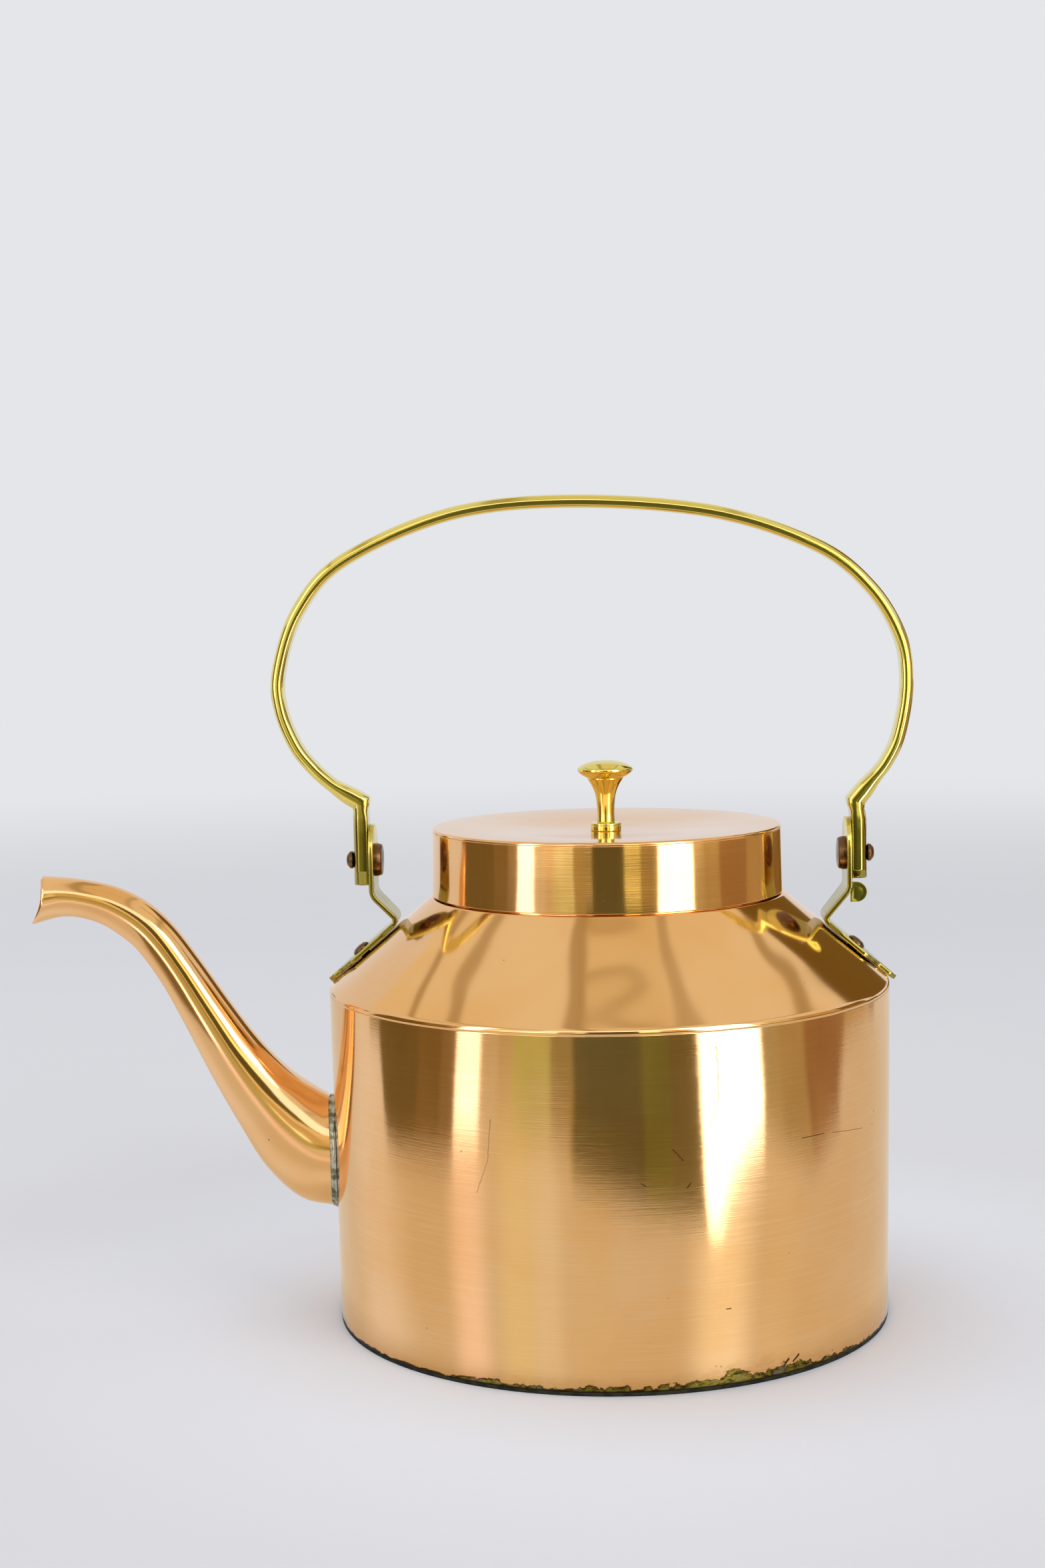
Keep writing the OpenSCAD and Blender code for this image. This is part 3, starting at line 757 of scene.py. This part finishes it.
def knob_ring():
    low, high, r = KNOB_SEAT, KNOB_LOW, KNOB_COLLAR_R
    outline = fillet([(TENON_R, low), (r, low, 0.3), (r, low + 1.7, 0.2), (r - 0.3, low + 1.8),
                      (r, low + 1.9, 0.2), (r, high, 0.3), (TENON_R, high)], steps=3)
    return turned("knob_ring", dense(outline, 2), "lid", ["knob_collar"], [MAT["knob"]], sides=96)


def washer():
    low, high = box_mm("knob_washer")
    outline = fillet([(TENON_R, low.z), (high.x, low.z, 0.3), (high.x, high.z, 0.2), (TENON_R, high.z)])
    return turned("knob_nut_washer", dense(outline, 2), "lid", ["knob_washer"], [MAT["knob"]],
                  sides=64)


# ---------------------------------------------------------------- handle

# Middle line of the loop, from the right knee over the top to the left knee.
LOOP = [(81.2, 166.5), (86, 172.4), (91.2, 179), (95.3, 188), (97.9, 204), (95.9, 219.5), (86.2, 235.8),
        (69, 249.4), (35.5, 260.8), (-10, 264.9), (-49, 261.5), (-84, 247.2), (-99.2, 231), (-105.9, 212),
        (-105.7, 199.5), (-101.3, 187.6), (-95.6, 179.9), (-88.6, 173.6), (-80.2, 168.4)]


def bar_section(forged, swell):
    """Section of the bar as (across, out) points: a domed outer half and a blunt inner half.

    At forged 0, in the loop, the inner half is well rounded; at 1, in the legs, it is nearly square.
    swell thickens the bar near a knee."""
    half_w, half_t = BAR_W / 2, (LOOP_T + (LEG_T - LOOP_T) * forged) / 2 * (1 + swell)
    squareness = 0.5 - 0.3 * forged
    count = 56
    points = []
    for k in range(count):
        angle = 2 * math.pi * (k + 0.5) / count
        c, s = math.cos(angle), math.sin(angle)
        if s > 0:
            points.append((half_w * c, half_t * s ** 0.9))
        else:
            points.append((math.copysign(half_w * abs(c) ** squareness, c), -half_t * abs(s) ** squareness))
    return points


def handle():
    right, left = LEG_X[1] + LEG_T / 2, -LEG_X[-1] - LEG_T / 2
    knee_hold = 0.7
    narrowest = 0.72
    loop = [Vector(p) for p in spline(LOOP, 10)]

    def leg(x, knee, after, block):
        """Points up one leg, ending just past its knee; its end is narrowed over the length block."""
        low, bend = Vector((x, LEG_LOW)), Vector((x, knee.y - 6))
        rise = (knee - bend).normalized()
        run = (after - knee).normalized()
        rungs = [Vector((x, LEG_LOW + h)) for h in (0, 0.3, block - 0.3, block, block + 0.3)]
        rungs += [Vector((x, PIVOT_Z + 6)), bend]
        rungs += [bend.lerp(knee - rise * knee_hold, t) for t in (0.3, 0.6, 0.8, 1)]
        return rungs + [knee, knee + run * knee_hold]

    blocks = {1: 2.8, -1: 4.6}
    start = leg(right, loop[0], loop[1], blocks[1])
    end = leg(left, loop[-1], loop[-2], blocks[-1])
    path = start + loop[1:-1] + end[::-1]
    rings = []
    for i, point in enumerate(path):
        a = (point - path[i - 1]).normalized() if i else (path[1] - point).normalized()
        b = (path[i + 1] - point).normalized() if i + 1 < len(path) else a
        along = (a + b).normalized()
        out = Vector((along.y, -along.x)) / max(0.8, along.dot(a))
        side = 1 if point.x > 0 else -1
        knee = loop[0] if side > 0 else loop[-1]
        forged = smoothstep(knee.y + 1, knee.y - 5.5, point.y)
        swell = KNEE_SWELL * smoothstep(knee.y - 3, knee.y, point.y) * smoothstep(12, 3, (point - knee).length)
        narrow = narrowest + (1 - narrowest) * min(1, (point.y - LEG_LOW) / blocks[side])
        rings.append([Vector((point.x + out.x * n, y * narrow, point.y + out.y * n))
                      for y, n in bar_section(forged, swell)])
    bm = bmesh.new()
    loft(bm, rings)
    piece = finish_piece("bail_handle", bm, "handle", ["handle"], [MAT["brass"]])
    bore = bmesh.new()
    reach = 100
    revolve(bore, [(0, -reach), (PIVOT_R + 0.05, -reach), (PIVOT_R + 0.05, reach), (0, reach)], 48,
            along_x(0, PIVOT_Z))
    cut(piece, bore)
    return piece


# ---------------------------------------------------------------- brackets and rivets

def strip_ring(point, out, half_w):
    """Rounded-rectangle section of a strip: out is the unit normal in the XZ plane."""
    t, r, across = STRIP / 2, 0.35, 6
    half_w = max(half_w, r + 0.05)
    flat = fillet([(-half_w, -t, r), (half_w, -t, r), (half_w, t, r), (-half_w, t, r)], steps=3)
    corner = len(flat) // 4
    inner = half_w - r
    spread = [inner * (2 * k / across - 1) for k in range(1, across)]
    section = (flat[:corner] + [(y, -t) for y in spread] + flat[corner:3 * corner]
               + [(-y, t) for y in spread] + flat[3 * corner:])
    return [Vector((point.x + out.x * n, y, point.y + out.y * n)) for y, n in section]


def bracket_bm(side):
    """Upright plate beside the leg, an S-bend and a foot with a narrow tongue, as one bent strip."""
    plate = LEG_X[side] - LEG_GAP - STRIP / 2
    elbow = ELBOW[side]
    seat = 0.05 + STRIP / 2
    foot_end = FOOT_END[side]
    top = PIVOT_Z + 3 + STRIP_W / 2 - 0.4
    path = fillet([(plate, top), (plate, 138.4, 5.0), on_slope(elbow, seat + 0.3) + (2.0,),
                   on_slope(foot_end + 1, seat)], closed=False, steps=10)
    path = [Vector(p) for p in dense(path, 0.8, closed=False, hold=0.1)]
    plan = [(elbow - 1, 7.9), (elbow + 2, 8), (elbow + 6, 9), (83, 9), (84.6, 8.2), (86.6, 5), (87.8, 3.1),
            (foot_end, 3), (foot_end + 0.7, 2.2), (foot_end + 1.1, 0.8)]

    def half_width(point, passed_elbow):
        if not passed_elbow:
            over = point.y - (PIVOT_Z + 3)
            if over > 0:
                return math.sqrt(max(0, (STRIP_W / 2) ** 2 - over * over))
            return STRIP_W / 2 - 1.1 * smoothstep(137, 129, point.y)
        for (x0, w0), (x1, w1) in zip(plan, plan[1:]):
            if x0 <= point.x <= x1:
                return w0 + (w1 - w0) * (point.x - x0) / (x1 - x0)
        return plan[-1][1]

    rings = []
    passed = False
    for i, point in enumerate(path):
        a = path[max(0, i - 1)]
        b = path[min(len(path) - 1, i + 1)]
        along = (b - a).normalized()
        out = Vector((-along.y, along.x))
        passed = passed or (along.x > 0 and point.x < elbow + 3)
        rings.append(strip_ring(point, out, half_width(point, passed)))
    bm = bmesh.new()
    loft(bm, rings)
    return bm


def ear(bm):
    """Rounded ear turned out from the front edge of the right bracket, below the leg."""
    x0, z0, r = LEG_X[1] - LEG_GAP - 0.6, 137.6, 3.2
    y0, y1 = -STRIP_W / 2, -STRIP_W / 2 + STRIP
    outline = [(x0, z0 + r), (x0, z0 - r)] + [(x0 + 2.1 + r * math.sin(a), z0 - r * math.cos(a))
                                              for a in (math.pi * k / 20 for k in range(21))]
    middle = Vector((x0 + 2.6, z0))
    rings = []
    for y, shrink in ((y0 + 0.3, 0.5), (y0 + 0.1, 0.85), (y0, 0.94), (y0 + 0.05, 0.985), (y0 + 0.3, 1.0),
                      (y1 - 0.3, 1.0), (y1 - 0.05, 0.985), (y1, 0.94)):
        rings.append([Vector((middle.x + (x - middle.x) * shrink, y if shrink > 0.6 else y0, middle.y
                              + (z - middle.y) * shrink)) for x, z in outline])
    loft(bm, rings)


def brackets():
    for side, name in ((-1, "bracket_left"), (1, "bracket_right")):
        bm = bracket_bm(side)
        if side < 0:
            bmesh.ops.scale(bm, vec=(-1, 1, 1), verts=bm.verts)
        else:
            ear(bm)
        finish_piece(name.replace("bracket", "strap"), bm, "kettle", [name], [MAT["bracket"]])


def foot_place(side):
    """Placement of a foot rivet: local Z square to the shoulder."""
    x, z = on_slope(FOOT_RIVET_AT, 0)
    return Matrix.Translation((side * x, 0, z)) @ Matrix.Rotation(-side * SLOPE_ANGLE, 4, "Y")


def rivets():
    out = STRIP + 0.1
    inside = -SHEET - 0.1 - 0.8
    foot = fillet([(0, inside - 1), (1.6, inside - 1, 0.4), (2.6, inside - 0.4, 0.2), (2.6, inside),
                   (FOOT_RIVET_R, inside), (FOOT_RIVET_R, out - 0.1), (3.1, out - 0.1, 0.2),
                   (3.0, out + 0.6, 0.4), (2.0, out + 1.35, 1.2), (0, out + 1.6)], steps=4)
    rove = fillet([(FOOT_RIVET_R, inside), (4, inside, 0.2), (4, inside + 0.8, 0.2),
                   (FOOT_RIVET_R, inside + 0.8)], steps=3)
    for side, word in ((-1, "left"), (1, "right")):
        place = foot_place(side)
        turned("foot_rivet_head_" + word, foot, "kettle", ["foot_rivet_" + word], [MAT["rivet"]],
               sides=48, place=place)
        turned("foot_burr_" + word, rove, "kettle", ["foot_rove_" + word], [MAT["rivet"]],
               sides=48, place=place)
        head_r = box_mm("pivot_rivet_" + word)[1].y
        plate_in = LEG_X[side] - LEG_GAP - STRIP
        leg_out = LEG_X[side] + LEG_T
        pin = fillet([(0, plate_in - HEAD_T), (head_r - 0.4, plate_in - HEAD_T + 0.1, 0.8),
                      (head_r, plate_in - 0.9, 0.4), (head_r, plate_in, 0.1), (PIVOT_R, plate_in),
                      (PIVOT_R, leg_out + LEG_GAP), (2.9, leg_out + LEG_GAP, 0.2), (2.8, leg_out + 1.3, 0.5),
                      (1.6, leg_out + LEG_GAP + 2.0, 0.6), (0, leg_out + LEG_GAP + 2.1)], steps=4)
        place = Matrix.Scale(side, 4, (1, 0, 0)) @ along_x(0, PIVOT_Z)
        turned("pivot_pin_" + word, pin, "kettle", ["pivot_rivet_" + word], [MAT["rivet"]],
               sides=64, place=place)


# ---------------------------------------------------------------- stage: floor, room, lights, camera

def plain(name, mesh_verts, faces, material):
    mesh = bpy.data.meshes.new(name)
    mesh.from_pydata(mesh_verts, [], faces)
    mesh.materials.append(material)
    thing = bpy.data.objects.new(name, mesh)
    bpy.context.scene.collection.objects.link(thing)
    return thing


PALE = (0.783, 0.791, 0.823)


def floor():
    """A wide pale floor that fades into the backdrop's colour."""
    g = Graph("floor_paper")
    distance = g.from_axis()
    mottle = g.cloud(g.place, 9.0, 3.0)
    paper = g.mix(mottle, (0.645, 0.645, 0.66, 1), (0.665, 0.665, 0.68, 1))
    # Painted light: paler and cooler close to the kettle, against its shade and the warm tint that light
    # bounced off the copper would give.
    paper = g.mix(g.ease(distance, 0.085, 0.26, 0.85, 0.0), paper, (0.74, 0.78, 0.84, 1))
    g.set(Base_Color=paper, Roughness=0.9, Specular_IOR_Level=0.0)
    clear = g.add("ShaderNodeBsdfTransparent")
    blend = g.add("ShaderNodeMixShader", {0: g.ease(distance, 0.7, 2.2), 1: g.shader.outputs[0],
                                          2: clear.outputs[0]})
    g.put(g.output.inputs["Surface"], blend.outputs[0])
    size = 3.0
    plain("floor", [(-size, -size, 0), (size, -size, 0), (size, size, 0), (-size, size, 0)], [(0, 1, 2, 3)],
          g.material)


PALE_WALL = (0.75, 0.77, 0.82)
PALE_FLOOR = (0.75, 0.74, 0.74)
DARK_WOOD = (0.21, 0.11, 0.02)
DARK_WALL = (0.24, 0.14, 0.03)
WINDOW_GLOW = (4.5, 4.5, 4.5)

# What the polished metal mirrors, by compass angle in degrees: 0 is the front, -Y, and 90 is +X.
# Each stripe starts at its angle and has a colour on the far wall and one on the floor beyond the table.
ROOM = [
    (-180, PALE_WALL, PALE_WALL),
    (-154, (0.22, 0.14, 0.04), PALE_FLOOR),
    (-146, (0.85, 0.78, 0.72), PALE_FLOOR),
    (-106, (0.20, 0.13, 0.02), (0.17, 0.13, 0.05)),
    (-77, (0.30, 0.21, 0.07), (0.21, 0.15, 0.06)),
    (-66, (0.49, 0.39, 0.22), (0.26, 0.19, 0.09)),
    (-58, WINDOW_GLOW, (2.20, 2.20, 2.40)),
    (-48, (1.30, 1.15, 0.85), (0.60, 0.54, 0.40)),
    (-41, (1.60, 1.35, 0.95), (0.55, 0.46, 0.28)),
    (-36, (1.60, 1.60, 1.25), (0.50, 0.52, 0.20)),
    (-22, (0.62, 0.50, 0.24), (0.33, 0.28, 0.12)),
    (-14, (1.00, 0.88, 0.50), (0.14, 0.13, 0.06)),
    (-9, (0.115, 0.10, 0.025), (0.13, 0.125, 0.06)),
    (11, (1.80, 1.75, 0.85), (0.17, 0.18, 0.05)),
    (21, (0.75, 0.60, 0.28), (0.17, 0.15, 0.06)),
    (31, WINDOW_GLOW, WINDOW_GLOW),
    (56, (1.05, 0.95, 0.62), (0.44, 0.38, 0.22)),
    (64, (0.80, 0.66, 0.33), (0.42, 0.34, 0.18)),
    (76, (0.58, 0.40, 0.15), (0.32, 0.20, 0.10)),
    (101, DARK_WALL, (0.46, 0.34, 0.16)),
    (122, DARK_WOOD, DARK_WOOD),
    (136, (0.80, 0.74, 0.68), (0.24, 0.13, 0.03)),
    (150, DARK_WALL, DARK_WOOD),
    (162, PALE_WALL, PALE_WALL)]
ROOM_R = 2.0


def hide_from_all_but_gloss(thing):
    for ray in ("camera", "diffuse", "shadow", "transmission", "volume_scatter"):
        setattr(thing, "visible_" + ray, False)


def glow(g, colour):
    """Finish a material that only gives light of the given colour."""
    lamp = g.add("ShaderNodeEmission", {"Color": colour, "Strength": 1.0})
    g.put(g.output.inputs["Surface"], lamp.outputs[0])
    return g.material


def stripes(name, column):
    """Glowing stripes by compass angle, with the colours of one column of ROOM."""
    g = Graph(name)
    share = g.math("ADD", g.math("MULTIPLY", g.compass(), 1 / 360), 0.5)
    ramp = g.add("ShaderNodeValToRGB", {0: share})
    ramp.color_ramp.interpolation = "CONSTANT"
    stops = ramp.color_ramp.elements
    while len(stops) < len(ROOM):
        stops.new(1.0)
    for stop, row in zip(stops, ROOM):
        stop.position = (row[0] + 180) / 360
        stop.color = (*row[column], 1)
    fine = g.ease(g.cloud(g.stretched(9, 9, 0.4), 1.0, 3.0, 0.7), 0.35, 0.65, 0.88, 1.12)
    shade = g.add("ShaderNodeVectorMath", {0: ramp.outputs[0], "Scale": fine}, operation="SCALE").outputs[0]
    return glow(g, shade)


# Where the pale table ends and the room's floor begins: compass angle and metres from the kettle's axis.
TABLE_EDGE = [(-106, 0.62), (-99, 0.58), (-94, 0.39), (-90, 0.34), (-84, 0.325), (-59, 0.33), (-57, 0.36),
              (-38, 0.40), (-23, 0.405), (-14, 0.39), (-13, 0.34), (13, 0.28), (30, 0.26), (36, 0.25),
              (42, 0.31), (49, 0.35), (56, 0.38), (62, 0.34), (75, 0.30), (84, 0.33), (93, 0.37), (101, 0.53),
              (127, 0.60), (131, 0.75), (162, 0.85)]


def spot(angle, radius, z):
    a = math.radians(angle)
    return (radius * math.sin(a), -radius * math.cos(a), z)


def panel(name, start, end, radius, low, high, material):
    """Upright strip of the room between two compass angles, seen only in the metal."""
    steps = max(2, int((end - start) / 3))
    verts = [spot(start + (end - start) * k / steps, radius, z) for k in range(steps + 1) for z in (low, high)]
    faces = [(2 * k, 2 * k + 1, 2 * k + 3, 2 * k + 2) for k in range(steps)]
    hide_from_all_but_gloss(plain(name, verts, faces, material))


def plain_glow(name, colour):
    return glow(Graph(name), (*colour, 1))


def room():
    """Stripes of a room, seen only in the metal: a round wall and the floor beyond the table."""
    far = stripes("room_far", 1)
    panel("room_wall", -106, 125, ROOM_R, 0, 0.9, far)
    panel("room_sill", 125, 254, ROOM_R, 0, 0.12, far)
    window = plain_glow("window", WINDOW_GLOW)
    panel("window_right", 31, 56, ROOM_R - 0.02, 0.9, 1.75, window)
    panel("window_left", -58, -48, ROOM_R - 0.02, 0.9, 1.75, window)
    panel("cornice", -30, 31, ROOM_R, 0.9, 1.7, plain_glow("cornice_pale", (1.50, 1.50, 1.50)))
    panel("door", 133, 158, ROOM_R - 0.1, 0.35, 1.9, plain_glow("door_dark", (0.17, 0.105, 0.02)))
    lift = 0.0005
    verts = []
    edge = dense([(a, r * 1000) for a, r in TABLE_EDGE], 4, closed=False, hold=0.5)
    for angle, radius in edge:
        verts += [spot(angle, radius / 1000, lift), spot(angle, ROOM_R, lift)]
    faces = [(2 * k, 2 * k + 1, 2 * k + 3, 2 * k + 2) for k in range(len(edge) - 1)]
    hide_from_all_but_gloss(plain("room_floor", verts, faces, stripes("room_near", 2)))


# Soft upright streaks in the lower wall, mirrored from the table: compass angle on the wall and half width in
# degrees, colour, strength.
TABLE_STREAKS = [
    (-54, 9, (0.86, 0.86, 0.90), 0.7), (-28, 4, (1.05, 0.93, 0.95), 0.75), (-18, 4, (0.88, 0.86, 0.52), 0.5),
    (-12, 3, (0.90, 0.90, 0.80), 0.4), (-4, 5, (0.72, 0.66, 0.46), 0.4), (21, 6, (1.12, 1.12, 1.05), 0.75),
    (33, 5, (0.78, 0.70, 0.52), 0.5), (56, 12, (0.68, 0.66, 0.62), 0.6)]


def table_sheen():
    """The table as the metal mirrors it, with streaks of window light; seen only in the metal."""
    g = Graph("table_sheen")
    distance = g.from_axis()
    # The wall mirrors the table's far parts at half their compass angle, what lies beside it at the full one.
    near = g.math("POWER", g.math("DIVIDE", BASE_R / 1000, distance), 2.0)
    on_wall = g.times(g.compass(), g.math("ADD", 0.5, g.math("MULTIPLY", near, 0.5)))
    colour = (0.70, 0.665, 0.585, 1)
    for middle, half, tint, strength in TABLE_STREAKS:
        off = g.math("ABSOLUTE", g.math("SUBTRACT", on_wall, middle))
        colour = g.mix(g.ease(off, half * 0.2, half * 1.5, strength, 0.0), colour, (*tint, 1))
    # Painted shade: the mirrored table darkens next to the kettle's foot.
    colour = g.mix(g.ease(distance, 0.088, 0.115, 0.6, 0.0), colour, (0.46, 0.40, 0.31, 1))
    colour = g.mix(g.ease(distance, 0.6, 1.6), colour, (*PALE, 1))
    inner, outer, lift, steps = 0.0925, ROOM_R, 0.0002, 72
    verts = [spot(360 * k / steps, radius, lift) for k in range(steps) for radius in (inner, outer)]
    faces = [(2 * k, 2 * k + 1, 2 * ((k + 1) % steps) + 1, 2 * ((k + 1) % steps)) for k in range(steps)]
    hide_from_all_but_gloss(plain("table_sheen", verts, faces, glow(g, colour)))


def ceiling():
    """Warm ceiling with soft darker boards, seen only in the metal."""
    g = Graph("ceiling_warm")
    x, y, _ = g.axes()
    dark = 0.0
    for middle, half, depth in ((-1.85, 0.06, 0.8), (-1.3, 0.08, 0.7), (-0.3, 0.1, 0.75), (0.65, 0.06, 0.6),
                                (1.8, 0.09, 0.8)):
        off = g.math("ABSOLUTE", g.math("SUBTRACT", x, middle))
        dark = g.math("MAXIMUM", dark, g.ease(off, half * 0.6, half * 1.5, depth, 0.0))
    middle_part = g.times(g.ease(x, -0.35, -0.2), g.ease(x, 0.5, 0.65, 1.0, 0.0))
    cross = g.ease(g.math("ABSOLUTE", g.math("ADD", y, 0.09)), 0.02, 0.05, 0.6, 0.0)
    dark = g.math("MAXIMUM", dark, g.math("MULTIPLY", cross, middle_part))
    colour = g.mix(g.math("MULTIPLY", middle_part, 0.7), (0.82, 0.77, 0.62, 1), (0.74, 0.64, 0.40, 1))
    colour = g.mix(dark, colour, (0.36, 0.27, 0.12, 1))
    size, high = 2.4, 2.2
    hide_from_all_but_gloss(plain("ceiling", [(-size, -size, high), (size, -size, high), (size, size, high),
                                              (-size, size, high)], [(3, 2, 1, 0)], glow(g, colour)))


def lights():
    world = bpy.data.worlds.new("backdrop")
    bpy.context.scene.world = world
    world.use_nodes = True
    background = world.node_tree.nodes["Background"]
    background.inputs["Color"].default_value = (*PALE, 1)
    background.inputs["Strength"].default_value = 1.0
    for name, place, size, power in (("window_light", (1.1, -1.2, 1.0), 0.9, 6.0),
                                     ("top_light", (-0.5, 0.2, 1.6), 1.4, 8.0)):
        data = bpy.data.lights.new(name, "AREA")
        data.size = size
        data.energy = power
        lamp = bpy.data.objects.new(name, data)
        bpy.context.scene.collection.objects.link(lamp)
        lamp.location = place
        lamp.visible_glossy = False
        lamp.rotation_mode = "QUATERNION"
        lamp.rotation_quaternion = (Vector(place) - Vector((0, 0, 0.1))).to_track_quat("Z", "Y")


def camera():
    """A camera at the photograph's place: yaw, pitch down and roll in radians."""
    yaw, pitch, roll = -0.0380, 0.0832, -0.0193
    ahead = Vector((math.sin(yaw) * math.cos(pitch), math.cos(yaw) * math.cos(pitch), -math.sin(pitch)))
    right = Vector((math.cos(yaw), -math.sin(yaw), 0))
    up = right.cross(ahead)
    side = math.cos(roll) * right + math.sin(roll) * up
    top = math.cos(roll) * up - math.sin(roll) * right
    data = bpy.data.cameras.new("camera")
    data.lens = 53.14
    data.sensor_width = 36
    data.clip_start = 0.01
    cam = bpy.data.objects.new("camera", data)
    bpy.context.scene.collection.objects.link(cam)
    turn = Matrix((side, top, -ahead)).transposed().to_4x4()
    cam.matrix_world = Matrix.Translation((0.0016, -0.7527, 0.2363)) @ turn
    bpy.context.scene.camera = cam


bottom()
wall()
shoulder()
neck()
seams()
spout()
spout_seam()
lid_disc()
lid_band()
knob()
knob_ring()
washer()
handle()
brackets()
rivets()
floor()
room()
table_sheen()
ceiling()
lights()
camera()
bpy.context.scene.view_settings.view_transform = "Standard"
